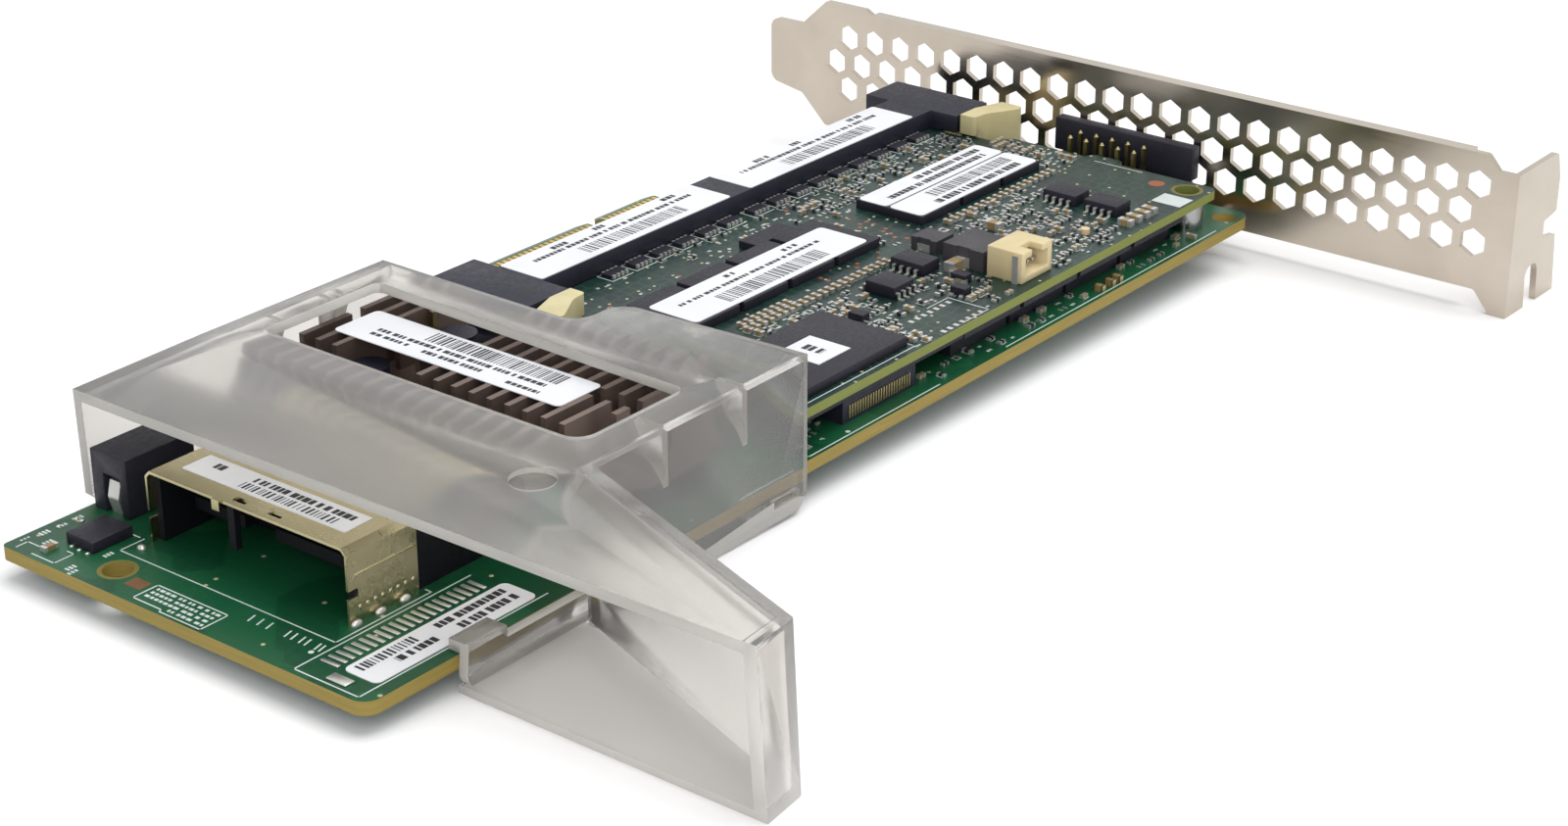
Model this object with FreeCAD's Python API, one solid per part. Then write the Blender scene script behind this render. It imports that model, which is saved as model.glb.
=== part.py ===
import FreeCAD, Part
import math
import os

# A raid controller card: a half-length board on a full-height bracket, with an
# internal cable port, a finned heatsink under a clear air duct that ends in a
# side scoop, and a cache module that plugs flat into a socket with two latches.
#
# Millimetres. While it is drawn, x runs from the bracket's inner face along the
# board, y is zero at the board's outer long edge and falls towards the edge
# connector, and z is zero on the component side. The finished card is moved so
# that its origin is the middle of its box, at the bottom.

# Standard sizes of the card and its bracket
board_start = 2.7
board_thickness = 1.57
board_corner = 2.0
board_sharp_corner = 0.7
board_end_margin = 10.15
board_width_end = 53.6
board_width_near = 60.65
tongue_tip = 68.9
tongue_start = 46.45
tongue_length = 52.2
key_offset = 11.65
key_width = 1.9
key_depth = 7.6
tongue_chamfer = 0.9
tongue_bevel = 1.3
tongue_bevel_depth = 0.47
finger_pitch = 1.0
finger_width = 0.7
finger_length = 4.6
finger_setback = 0.3
plating = 0.05
key_round_margin = 0.01

bracket_sheet = 0.86
bracket_length = 120.02
bracket_width = 18.42
bracket_below = 3.77
bracket_bend = 0.8
bracket_foot = (31.4, 34.0)
bracket_shoulder = (31.6, 33.3)
bracket_ear = (-73.6, -66.6)
bracket_ear_rise = 0.65
bracket_neck_y = -78.1
bracket_neck_z = (0.4, 11.1)
bracket_waist_y = -73.8
bracket_tip_z = (1.4, 11.0)
bracket_tip_corner = 1.5
flange_y = 36.1
flange_bottom = -7.0
flange_top = 12.7
flange_reach = 14.2
flange_foot = (13.2, 1.0)
flange_nick_reach = 9.3
flange_nick_z = (1.6, 3.9)
flange_side = 12.8
flange_side_z = (4.4, 9.0)
flange_top_reach = 11.6
flange_slot_mouth = (5.4, 9.0)
flange_slot = (4.8, 8.4)
flange_slot_top = -1.3
flange_slot_round = 1.5
lip_reach = 2.0
lip_start = -65.4
lip_end = 29.2
hex_pitch = 4.555
hex_flats = 3.35
hex_row_step = 3.925
hex_columns = 23
hex_first_y = -69.6
hex_middle_z = 6.45

# Fixings of the bracket
screw_x = 6.2
screw_places = (-10.5, -35.6)
screw_radius = 1.45
screw_clearance = 0.15
screw_head_radius = 2.75
screw_head_height = 1.8
tab_width = 8.0
tab_past_screw = 4.0

# Bare holes of the board
board_hole_radius = 1.65
board_hole_near_bracket = (6.0, -2.2)
board_hole_in_from_end = 3.85
board_hole_at_end_y = -39.7

# Cable port: folded cage over a black housing
port_past_duct = 1.5
port_left = -41.9
port_right = -12.4
port_top = 8.35
port_sheet = 0.3
port_bevel = 0.7
cage_depth = 22.0
side_wall_depth = 9.6
housing_length = 21.5
housing_height = 8.0
liner = 0.8
liner_setback = 1.0
post_y = -29.9
post_width = 1.0
post_depth = 0.8
post_setback = 0.8
post_foot = 2.6
divider_height = 1.6
blade_length = 5.0
blade_thickness = 1.4
blade_side_margin = 1.8
blade_bare_tip = 0.6
port_contact_pitch = 0.8
port_contact_width = 0.4
notch_low = 2.8
notch_high = 3.7
notch_depth = 1.3
roof_slots_y = (-28.6, -23.4)
roof_slot_half = 0.9
roof_slot_x = (0.8, 1.6)
roof_tab_y = (-31.4, -30.3)
roof_tab_drop = 1.2

# Small black connector beside the port
side_setback = 0.3
side_length = 9.5
side_height = 7.0
side_width = 5.6
side_mouth_in = 1.9
side_mouth_width = 2.5
side_mouth_height = 4.5
side_mouth_depth = 3.4
side_contact_width = 1.7
side_contact_height = 3.8
side_contact_sheet = 0.5
side_contact_swell = 0.5
side_contact_bend = 1.0

# Small chip at the board's end
end_chip_from_end = (4.55, 9.85)
end_chip_y = (-48.6, -44.3)
end_chip_height = 1.3

# Air duct
duct_wall = 1.2
duct_top = 13.8
duct_past_module = 2.2
duct_length = 54.4
duct_front_skew = 0.9
duct_left = -54.2
duct_step = 8.7
duct_step_taper = 1.6
duct_step_y = -24.0
duct_step_radius = 3.0
duct_crease_from_front = 17.5
duct_toe = (1.6, 1.3)
duct_heel = (1.6, 1.6)
duct_heel_round = 1.0
duct_joint = 0.2
duct_front_drop = 0.35
duct_bottom = -4.4
duct_slip = 0.1
window_from_front = (22.8, 39.2)
window_skew = 1.3
window_y = (-49.9, -3.3)
window_radius = 1.0
window_front_radius = 2.4
gusset_thickness = 0.8
gusset_reach = 3.0
left_gusset_reach = 2.2
gusset_drop = 6.1
right_gussets_from_front = (44.2, 31.2)
left_gussets_from_front = (36.4, 34.4, 26.6)
scoop_from_front = 0.6
scoop_corner_from_front = 6.8
scoop_start_from_front = 19.9
scoop_reach = 36.4
scoop_lean = 1.3
scoop_lip_rise = 0.7
scoop_corner_lean = 0.3
scoop_edge = (1.6, 2.0)
scoop_edge_radii = (1.0, 1.5)
clip_from_scoop = (0.4, 5.8)
clip_reach = 1.4
clip_nose = 0.84
catch_from_rear = (1.5, 5.8)
catch_reach = 0.9
catch_height = 1.0
catch_hook = (1.0, 4.0)
mark_from_front = 13.5
mark_y = -1.2
mark_radius = 2.5
mark_depth = 0.25

# Heatsink, its chip and its sprung pins
sink_behind_duct = 20.8
sink_length = 29.0
front_gap_depth = (6.2, 8.3)
rear_gap_depth = (15.8, 17.8)
sink_first_fin = -51.0
fin_pitch = 2.6
fin_thickness = 0.8
fin_count = 17
fins_before_pocket = 3
fins_by_pin = 2
fins_in_pocket = 4
front_pocket_start = 4.2
pocket_step = 2.5
corner_cut = (8.0, 13.6)
fin_top = 11.0
sink_base = 2.2
chip_height = 2.6
chip_size = 27.0
front_pin = (10.7, -42.5)
rear_pin = (23.4, -41.2)
chip_corner_room = 3.3
pin_head_radius = 2.3
pin_head_height = 0.9
pin_head_top = 8.6
pin_shaft_radius = 1.0
pin_fit = 0.15
pin_point = 2.4
pin_barb = (0.5, 1.5)
pin_barb_thickness = 1.2
spring_radius = 2.0
spring_wire = 0.45
post_pin_spot = (22.8, -44.4)
post_pin_width = 0.64
post_pin_room = 1.0
post_pin_top = 10.6

# Cache module
module_bottom = 3.8
module_thickness = 1.2
module_edge = -1.8
module_start = 8.9
module_past_plug = (2.6, 5.9)
module_corner = 1.2
module_shoulder = -35.0
plug_length = 82.0
plug_tip = -50.0
plug_notch_y = (-43.9, -41.2)
plug_notch_depth = 1.0
bulge_y = (-22.0, -17.5)
bulge_reach = 1.4
bulge_slope = 0.6
module_hole_place = (11.8, -4.8)
standoff_radius = 2.3

memory_size = (8.4, 10.6)
memory_pitch = 9.3
memory_height = 1.2
memory_back = -35.2
memory_starts = (17.0, 53.2)
memory_counts = (3, 4)
processor_from_end = (3.4, 22.9)
processor_y = (-16.3, -3.4)
small_chip_height = 1.5
small_chips = (
    ((22.9, 26.4), (-17.9, -12.9)),
    ((22.9, 26.4), (-11.6, -6.6)),
    ((54.6, 58.2), (-19.3, -14.4)),
    ((62.2, 66.2), (-17.2, -12.8)),
)
large_coil = ((46.0, 52.5), (-15.4, -9.4), 2.6)
small_coil = ((47.4, 51.2), (-21.2, -17.4), 1.7)
coil_cut_depth = 0.25
coil_cut_width = 2.0
cable_socket_x = (46.3, 52.9)
cable_socket_y = (-8.6, -3.4)
cable_socket_top = 9.0
cable_socket_wall = 0.9
cable_socket_notch = (2.2, 2.0)
cable_pin_places = (-1.5, -0.5, 0.5, 1.5)
cable_pin = 0.3
cable_pin_setback = 1.0
cable_strip_in = (0.5, 1.3)
cable_strip = 0.25
cable_strip_drop = 0.4

# Module socket and its latches
socket_front = -45.8
socket_back = -53.0
socket_top = 7.7
socket_slot_play = 0.1
tower_length = 7.5
tower_front = -41.5
tower_back = -57.0
tower_overlap = 1.0
tower_groove = (5.9, 6.9)
tower_groove_y = (1.5, 8.0)
tower_groove_depth = 1.1
latch_pin_inset = 3.6
latch_pin_y = -48.5
latch_pin_radius = 0.8
latch_running = 0.08
latch_pin_cover = 0.8
latch_hub_radius = 1.9
latch_arm = 2.4
latch_arm_root = 1.0
latch_bottom = 2.5
latch_arm_top = 5.8
latch_top = 8.0
latch_clearance = 0.3
latch_hook_slack = 0.72
latch_outer_past = 0.8
latch_tab_y = (-41.0, -36.0)
latch_tab_corner = 0.6
latch_tip_y = -38.6
latch_scoop = (1.2, 0.2, 3.0)
latch_thumb = 1.4
latch_flare = 1.5
lead_pitch = 2.0
lead_width = 0.6
lead_reach = 1.3
lead_thickness = 0.3

# Pin header by the bracket and the board-to-board connector
header_clearance = 0.3
header_y = -27.6
header_pitch = 2.54
header_rows = 2
header_columns = 5
header_base = 2.5
header_pin = 0.64
header_pin_top = 8.3
joiner_from_end = (9.4, 23.4)
joiner_y = (-6.4, -2.6)
joiner_wall = 0.6
joiner_play = 0.2
joiner_split = 2.3

# Labels
label_thickness = 0.1
sink_label_depth = (11.2, 18.3)
sink_label_y = (-48.6, -14.6)
port_label_depth = (2.6, 6.5)
port_label_y = (-39.0, -15.2)
board_label_from_end = (3.45, 26.15)
board_label_y = (-6.7, -2.0)
socket_label_ends = (5.0, 1.1)
socket_label_gap = 4.0
socket_label_margin = 0.1
long_label_x = (55.0, 88.7)
long_label_y = (-32.6, -25.0)
paired_label_x = (17.2, 43.9)
paired_label_rows = ((-35.0, -30.4), (-30.1, -24.8))
sticker_from_end = (9.9, 15.9)
sticker_y = (-12.3, -6.4)

# How far a cutter runs past the face that it opens
past = 1.0


def behind(front, distances):
    """A (low, high) pair on an axis, from two distances back from its front."""
    return (front - max(distances), front - min(distances))


# Worked out from the sizes above, from the bracket towards the card's far end
board_under = -board_thickness
module_top = module_bottom + module_thickness
plug_start = module_start + module_past_plug[0]
plug_end = plug_start + plug_length
plug_middle = (plug_start + plug_end) / 2
module_end = plug_end + module_past_plug[1]
duct_rear_right = module_end + duct_past_module
duct_rear_left = duct_rear_right + duct_step
duct_front = duct_rear_right + duct_length
duct_front_right = duct_front - duct_front_skew
duct_crease = duct_front - duct_crease_from_front
scoop_front = duct_front - scoop_from_front
scoop_corner = duct_front - scoop_corner_from_front
scoop_start = duct_front - scoop_start_from_front
port_front = duct_front + port_past_duct
side_front = duct_front - side_setback
card_length = port_front + board_end_margin
sink_front = duct_front - sink_behind_duct
sink_back = sink_front - sink_length
tongue_end = tongue_start + tongue_length
sink_seat = chip_height
fin_root = sink_seat + sink_base
sink_last = sink_first_fin + (fin_count - 1) * fin_pitch + fin_thickness
pin_places = ((sink_front - front_pin[0], front_pin[1]),
              (sink_front - rear_pin[0], rear_pin[1]))
post_pin_place = (sink_front - post_pin_spot[0], post_pin_spot[1])
header_x = (module_start - bulge_reach - header_clearance - header_pin / 2
            - (header_rows - 0.5) * header_pitch)


def at(x, y, z=0.0):
    return FreeCAD.Vector(x, y, z)


def block(x, y, z):
    """A box from three (low, high) pairs."""
    return Part.makeBox(x[1] - x[0], y[1] - y[0], z[1] - z[0], at(x[0], y[0], z[0]))


def rod(place, radius, z):
    return Part.makeCylinder(radius, z[1] - z[0], at(place[0], place[1], z[0]))


def joined(first, *others):
    return first.fuse(list(others)).removeSplitter()


def placed(plane, level, a, b):
    """A point of a flat outline: plane names its two axes, level is the third."""
    if plane == "xy":
        return at(a, b, level)
    if plane == "yz":
        return at(level, a, b)
    return at(a, level, b)


def outline(corners, plane, level):
    """A closed wire. A corner is (a, b), or (a, b, radius) where it is rounded."""
    points = [placed(plane, level, corner[0], corner[1]) for corner in corners]
    starts = []
    ends = []
    edges = []
    for index, corner in enumerate(corners):
        here = points[index]
        if len(corner) == 2:
            starts.append(here)
            ends.append(here)
            continue
        back = (points[index - 1] - here).normalize()
        ahead = (points[(index + 1) % len(points)] - here).normalize()
        half = back.getAngle(ahead) / 2
        run = corner[2] / math.tan(half)
        middle = (back + ahead).normalize() * (corner[2] / math.sin(half) - corner[2])
        starts.append(here + back * run)
        ends.append(here + ahead * run)
        edges.append(Part.Arc(starts[-1], here + middle, ends[-1]).toShape())
    for index in range(len(corners)):
        following = (index + 1) % len(corners)
        edges.append(Part.LineSegment(ends[index], starts[following]).toShape())
    return Part.Wire(Part.__sortEdges__(edges))


def slab(corners, plane, span):
    """An outline pushed through from the first level of span to the second."""
    face = Part.Face(outline(corners, plane, span[0]))
    return face.extrude(placed(plane, span[1] - span[0], 0.0, 0.0))


def label(x, y, seat):
    return block(x, y, (seat, seat + label_thickness))


def chip(x, y, seat, height):
    return block(x, y, (seat, seat + height))


def mirrored(shape):
    """The same piece at the other end of the module socket."""
    return shape.mirror(at(plug_middle, 0.0, 0.0), at(1.0, 0.0, 0.0))


def make_bracket():
    """Plate with a hexagon grille, tongue, bent flange, edge lips and fixing tabs."""
    top = bracket_width - bracket_below
    ear_top = top + bracket_ear_rise
    tip = flange_y - bracket_length
    upright = [
        (flange_y, flange_bottom), (flange_y, flange_top),
        (bracket_shoulder[1], flange_top), (bracket_shoulder[0], top, bracket_bend),
        (lip_start, top), (bracket_ear[1], ear_top),
        (bracket_ear[0], ear_top, bracket_bend), (bracket_neck_y, bracket_neck_z[1]),
        (tip, bracket_tip_z[1], bracket_tip_corner), (tip, bracket_tip_z[0], bracket_tip_corner),
        (bracket_neck_y, bracket_neck_z[0]), (bracket_waist_y, -bracket_below, bracket_bend),
        (bracket_foot[0], -bracket_below, bracket_bend), (bracket_foot[1], flange_bottom),
    ]
    body = slab(upright, "yz", (-bracket_sheet, 0.0))
    flange = [
        (0.0, flange_bottom), (0.0, flange_top), (-flange_top_reach, flange_top, bracket_bend),
        (-flange_side, flange_side_z[1]), (-flange_side, flange_side_z[0]),
        (-flange_nick_reach, flange_nick_z[1]), (-flange_nick_reach, flange_nick_z[0]),
        (-flange_foot[0], flange_foot[1]), (-flange_reach, flange_bottom),
        (-flange_slot_mouth[1], flange_bottom),
        (-flange_slot[1], flange_slot_top, flange_slot_round),
        (-flange_slot[0], flange_slot_top, flange_slot_round),
        (-flange_slot_mouth[0], flange_bottom),
    ]
    bent = slab(flange, "xz", (flange_y - bracket_sheet, flange_y))
    lips = []
    for z in ((top - bracket_sheet, top), (-bracket_below, bracket_sheet - bracket_below)):
        lips.append(block((-lip_reach, 0.0), (lip_start, lip_end), z))
    tabs = []
    holes = []
    for y in screw_places:
        tabs.append(block((-bracket_sheet, screw_x + tab_past_screw),
                          (y - tab_width / 2, y + tab_width / 2),
                          (board_under - bracket_sheet, board_under)))
        holes.append(rod((screw_x, y), screw_radius, (board_under - 2 * bracket_sheet, 0.0)))
    for row in (-1, 0, 1):
        shift = -hex_pitch / 2 if row == 0 else 0.0
        for column in range(hex_columns):
            centre = hex_first_y + shift + column * hex_pitch
            holes.append(hexagon(centre, hex_middle_z + row * hex_row_step))
    return joined(body, bent, *lips, *tabs).cut(holes)


def hexagon(y, z):
    """The cutter for one hole of the grille, with a point up and a point down."""
    reach = hex_flats / math.sqrt(3.0)
    corners = []
    for turn in range(6):
        angle = math.radians(90 + 60 * turn)
        corners.append((y + reach * math.cos(angle), z + reach * math.sin(angle)))
    return slab(corners, "yz", (-2 * bracket_sheet, bracket_sheet))


def make_bracket_screws():
    """Pan-head screws down through the board into the bracket's tabs."""
    screws = []
    for y in screw_places:
        place = (screw_x, y)
        shank = rod(place, screw_radius, (board_under - bracket_sheet, 0.0))
        screws.append(joined(shank, rod(place, screw_head_radius, (0.0, screw_head_height))))
    return Part.makeCompound(screws)


def make_main_board():
    key_start = tongue_start + key_offset
    key_end = key_start + key_width
    key_round = key_width / 2 - key_round_margin
    cut = tongue_chamfer
    shape = [
        (board_start, 0.0, board_corner), (card_length, 0.0, board_corner),
        (card_length, -board_width_end, board_sharp_corner),
        (tongue_end, -board_width_end),
        (tongue_end, cut - tongue_tip), (tongue_end - cut, -tongue_tip),
        (key_end + cut, -tongue_tip), (key_end, cut - tongue_tip),
        (key_end, key_depth - tongue_tip, key_round),
        (key_start, key_depth - tongue_tip, key_round),
        (key_start, cut - tongue_tip), (key_start - cut, -tongue_tip),
        (tongue_start + cut, -tongue_tip), (tongue_start, cut - tongue_tip),
        (tongue_start, -board_width_near),
        (board_start, -board_width_near, board_corner),
    ]
    board = slab(shape, "xy", (board_under, 0.0))
    through = (board_under - past, past)
    hole_at_end = (card_length - board_hole_in_from_end, board_hole_at_end_y)
    holes = [bevel_cutter(0.0, 1.0), bevel_cutter(board_under, -1.0)]
    for place in (board_hole_near_bracket, hole_at_end):
        holes.append(rod(place, board_hole_radius, through))
    for y in screw_places:
        holes.append(rod((screw_x, y), screw_radius + screw_clearance, through))
    for place in pin_places:
        holes.append(rod(place, pin_shaft_radius + pin_fit, through))
    return board.cut(holes)


def bevel_cutter(face_z, outward):
    """The wedge that bevels the tongue's edge on one face of the board."""
    wedge = [(tongue_bevel - tongue_tip, face_z),
             (-tongue_tip, face_z - outward * tongue_bevel_depth),
             (-tongue_tip - tongue_bevel, face_z - outward * 2 * tongue_bevel_depth),
             (-tongue_tip - tongue_bevel, face_z)]
    return slab(wedge, "yz", (tongue_start - tongue_bevel, tongue_end + tongue_bevel))


def make_edge_contacts():
    """Gold fingers on both faces of the tongue, each side of the key slot."""
    key_start = tongue_start + key_offset
    key_end = key_start + key_width
    low = tongue_bevel + finger_setback - tongue_tip
    y = (low, low + finger_length)
    fingers = []
    for start, end in ((tongue_start, key_start), (key_end, tongue_end)):
        count = int((end - start - finger_pitch / 2) / finger_pitch)
        first = (start + end - (count - 1) * finger_pitch) / 2
        for index in range(count):
            middle = first + index * finger_pitch
            x = (middle - finger_width / 2, middle + finger_width / 2)
            fingers.append(block(x, y, (0.0, plating)))
            fingers.append(block(x, y, (board_under - plating, board_under)))
    return Part.makeCompound(fingers)


def make_port_cage():
    """One folded sheet: roof, two side walls with notches, and tabs at the mouth."""
    back = port_front - cage_depth
    half = [
        (port_left, 0.0), (port_left, port_top - port_bevel),
        (port_left + port_bevel, port_top), (port_right - port_bevel, port_top),
        (port_right, port_top - port_bevel), (port_right, 0.0),
        (port_right - port_sheet, 0.0),
        (port_right - port_sheet, port_top - port_bevel - port_sheet / 3),
        (port_right - port_bevel - port_sheet / 3, port_top - port_sheet),
        (port_left + port_bevel + port_sheet / 3, port_top - port_sheet),
        (port_left + port_sheet, port_top - port_bevel - port_sheet / 3),
        (port_left + port_sheet, 0.0),
    ]
    cage = slab(half, "yz", (back, port_front))
    wall_back = port_front - side_wall_depth
    low_walls = block((back - past, wall_back), (port_left - past, port_right + past),
                      (-past, port_top - port_bevel - port_sheet))
    notches = block((port_front - notch_depth, port_front + past),
                    (port_left - past, port_right + past), (notch_low, notch_high))
    slots = []
    for y in roof_slots_y:
        slots.append(block(behind(port_front, roof_slot_x),
                           (y - roof_slot_half, y + roof_slot_half),
                           (port_top - 2 * port_sheet, port_top + past)))
    tab = block((port_front, port_front + port_sheet), roof_tab_y,
                (port_top - roof_tab_drop, port_top))
    return joined(cage, tab).cut([low_walls, notches] + slots)


def blade_spans():
    """The y span of the contact blade in each of the port's two mouths."""
    inner_left = port_left + port_sheet + blade_side_margin
    inner_right = port_right - port_sheet - blade_side_margin
    split = blade_side_margin + post_width / 2
    return ((inner_left, post_y - split), (post_y + split, inner_right))


def make_port_housing():
    """Black body behind the cage's walls, with side liners, a divider that ends in
    a post, and a contact blade in each of the two mouths."""
    wall_back = port_front - side_wall_depth
    housing_back = port_front - housing_length
    left = port_left + port_sheet
    right = port_right - port_sheet
    roof = port_top - port_sheet
    side_top = port_top - port_bevel - port_sheet
    body = block((housing_back, wall_back), (left, port_right), (0.0, side_top))
    pieces = [block((housing_back, wall_back), (left + port_bevel, right - port_bevel),
                    (0.0, housing_height))]
    for y in ((left, left + liner), (right - liner, right)):
        pieces.append(block((wall_back, port_front - liner_setback), y, (0.0, side_top)))
    low = port_top / 2 - blade_thickness
    for span in blade_spans():
        pieces.append(block((wall_back, wall_back + blade_length), span,
                            (low, low + blade_thickness)))
    post_front = port_front - post_setback
    post_span = (post_y - post_width / 2, post_y + post_width / 2)
    pieces.append(block((wall_back, post_front), post_span, (roof - divider_height, roof)))
    pieces.append(block((post_front - post_depth, post_front), post_span, (post_foot, roof)))
    return joined(body, *pieces)


def make_port_contacts():
    wall_back = port_front - side_wall_depth
    low = port_top / 2 - blade_thickness
    strips = []
    for span in blade_spans():
        count = int((span[1] - span[0]) / port_contact_pitch)
        first = (span[0] + span[1] - (count - 1) * port_contact_pitch) / 2
        for index in range(count):
            y = first + index * port_contact_pitch
            top = low + blade_thickness
            strips.append(block((wall_back, wall_back + blade_length - blade_bare_tip),
                                (y - port_contact_width / 2, y + port_contact_width / 2),
                                (top, top + plating)))
    return Part.makeCompound(strips)


def side_span():
    left = duct_left + duct_wall + duct_slip
    return (left, left + side_width)


def make_side_connector():
    span = side_span()
    body = block((side_front - side_length, side_front), span, (0.0, side_height))
    mouth_left = span[0] + side_mouth_in
    mouth = block((side_front - side_mouth_depth, side_front + past),
                  (mouth_left, mouth_left + side_mouth_width), (-past, side_mouth_height))
    return body.cut(mouth)


def make_side_contact():
    """Bright bent strip that stands in the side connector's mouth."""
    middle = side_span()[0] + side_mouth_in + side_mouth_width / 2
    front = side_front - side_contact_swell
    back = front - side_contact_sheet
    half_way = side_contact_height / 2
    shape = [
        (back, 0.0), (front, 0.0),
        (front + side_contact_swell, half_way, side_contact_bend),
        (front, side_contact_height), (back, side_contact_height),
        (back + side_contact_swell, half_way, side_contact_bend),
    ]
    return slab(shape, "xz", (middle - side_contact_width / 2, middle + side_contact_width / 2))


def make_end_chip():
    return chip(behind(card_length, end_chip_from_end), end_chip_y, 0.0, end_chip_height)


def gusset(x, wall_y, reach):
    corners = [(wall_y, duct_top - duct_wall), (wall_y, duct_top - duct_wall - gusset_drop),
               (wall_y + reach, duct_top - duct_wall)]
    return slab(corners, "yz", (x - gusset_thickness / 2, x + gusset_thickness / 2))


def scoop_outline(margin, lean, front):
    """The scoop's plan, moved in by margin and out at its far end by lean."""
    slope = (scoop_reach - duct_slip) / (scoop_corner - scoop_start)
    side = margin * math.sqrt(1.0 + slope * slope) / slope
    end = scoop_reach + lean - margin
    return [
        (scoop_start + side, duct_slip),
        (front, duct_slip),
        (front, end + scoop_lip_rise),
        (scoop_corner + lean * scoop_corner_lean + side - margin / slope, end),
    ]


def scoop_body(margin, low, high, front):
    """A tapered block between the scoop's plans at two heights."""
    wires = []
    for z in (low, high):
        share = (duct_top - z) / (duct_top - duct_bottom)
        wires.append(outline(scoop_outline(margin, scoop_lean * share, front), "xy", z))
    return Part.makeLoft(wires, True, True)


def make_air_duct():
    """One clear moulding: roof with a window, side walls, and the open scoop."""
    inner_left = duct_left + duct_wall
    outer_right = duct_slip + duct_wall
    ahead = duct_front + duct_wall * 4
    under_roof = duct_top - duct_wall
    plan = [
        (duct_rear_left, duct_left), (duct_front, duct_left),
        (duct_front_right, outer_right), (duct_rear_right, outer_right),
        (duct_rear_right + duct_step_taper, duct_step_y, duct_step_radius),
        (duct_rear_left, duct_step_y, duct_step_radius),
    ]
    front_top = duct_top - duct_front_drop
    side = [
        (duct_rear_right - past, under_roof), (duct_rear_right - past, duct_top),
        (duct_crease, duct_top), (ahead, front_top), (ahead, front_top - duct_wall),
        (duct_crease, under_roof),
    ]
    roof_span = (duct_left - past, scoop_reach + 2 * scoop_lean)
    sheet = slab(side, "xz", roof_span)
    roof = sheet.common(slab(plan, "xy", (0.0, duct_top + past)))
    scoop_plan = scoop_outline(0.0, 0.0, duct_front_right)
    scoop_roof = sheet.common(slab(scoop_plan, "xy", (0.0, duct_top + past)))

    wall_top = duct_top - duct_joint
    left_side = [
        (duct_rear_left, 0.0), (duct_front - duct_toe[0], 0.0),
        (duct_front - duct_joint, duct_toe[1]), (duct_front, front_top - duct_joint),
        (duct_crease, wall_top), (duct_rear_left, wall_top),
    ]
    left_wall = slab(left_side, "xz", (duct_left, inner_left))
    scoop_wall_end = scoop_start + duct_wall
    right_side = [
        (duct_rear_right, duct_bottom + duct_heel[1], duct_heel_round),
        (duct_rear_right + duct_heel[0], duct_bottom),
        (scoop_wall_end, duct_bottom), (scoop_wall_end, wall_top), (duct_rear_right, wall_top),
    ]
    right_wall = slab(right_side, "xz", (duct_slip, outer_right))

    scoop = scoop_body(0.0, duct_bottom, duct_top, scoop_front)
    hollow = scoop_body(duct_wall, duct_bottom + duct_wall, duct_top + past, ahead)
    scoop = scoop.cut(hollow)
    clip_x = behind(scoop_front, clip_from_scoop)
    low_edge = [
        (scoop_start, duct_bottom), (scoop_front - scoop_edge[0], duct_bottom, scoop_edge_radii[0]),
        (scoop_front, duct_bottom + scoop_edge[1], scoop_edge_radii[1]),
        (clip_x[1], duct_slip + clip_nose), (clip_x[0], clip_top()),
        (clip_x[0], 0.0), (scoop_start, 0.0),
    ]
    edge_wall = slab(low_edge, "xz", (duct_slip, outer_right))
    clip = block(clip_x, (-clip_reach, outer_right), (duct_slip, clip_top()))

    passage = block((scoop_start + duct_wall * 1.2, ahead),
                    (-duct_wall, outer_right + duct_wall / 3),
                    (clip_top(), front_top - duct_wall))
    walls = [left_wall, right_wall, scoop, scoop_roof]
    walls += [gusset(duct_front - x, duct_slip, -gusset_reach)
              for x in right_gussets_from_front]
    walls += [gusset(duct_front - x, inner_left, left_gusset_reach)
              for x in left_gussets_from_front]
    catch_x = (duct_rear_right + catch_from_rear[0], duct_rear_right + catch_from_rear[1])
    catch_top = board_under - 2 * duct_slip
    catch_z = (catch_top - catch_height, catch_top)
    walls.append(block((catch_x[1] + catch_hook[0], catch_x[1] + catch_hook[1]),
                       (-catch_reach, outer_right), catch_z))
    body = joined(roof, *walls).cut(passage)
    body = joined(body, edge_wall, clip)

    window_x = behind(duct_front, window_from_front)
    window = slab([
        (window_x[0] - window_skew, window_y[0], window_radius),
        (window_x[1], window_y[0], window_radius),
        (window_x[1], window_y[1], window_front_radius),
        (window_x[0], window_y[1], window_radius),
    ], "xy", (duct_top - 2 * duct_wall, duct_top + past))
    catch_slot = block(catch_x, (-past, outer_right + past), catch_z)
    mark = rod((duct_front - mark_from_front, mark_y), mark_radius,
               (duct_top - mark_depth - duct_front_drop, duct_top))
    return body.cut([window, catch_slot, mark])


def clip_top():
    return duct_slip + duct_wall


def fin_start(index):
    return sink_first_fin + index * fin_pitch


def sink_pockets(z):
    """Where fins are missing: round each push pin, and at the front right corner."""
    clear = (fin_pitch - fin_thickness) / 2
    first = fin_start(fins_before_pocket) - clear
    by_pin = fin_start(fins_before_pocket + fins_by_pin) - clear
    last = fin_start(fins_before_pocket + fins_in_pocket) - clear
    front = sink_front - front_pocket_start
    back = sink_front - rear_gap_depth[0]
    return [
        block((back, front), (first, by_pin), z),
        block((back + pocket_step, front), (by_pin, last), z),
        block((sink_back - past, back), (first, last), z),
        block(behind(sink_front, corner_cut), (fin_start(fin_count - 1) - clear, sink_last + past),
              z),
    ]


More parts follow.
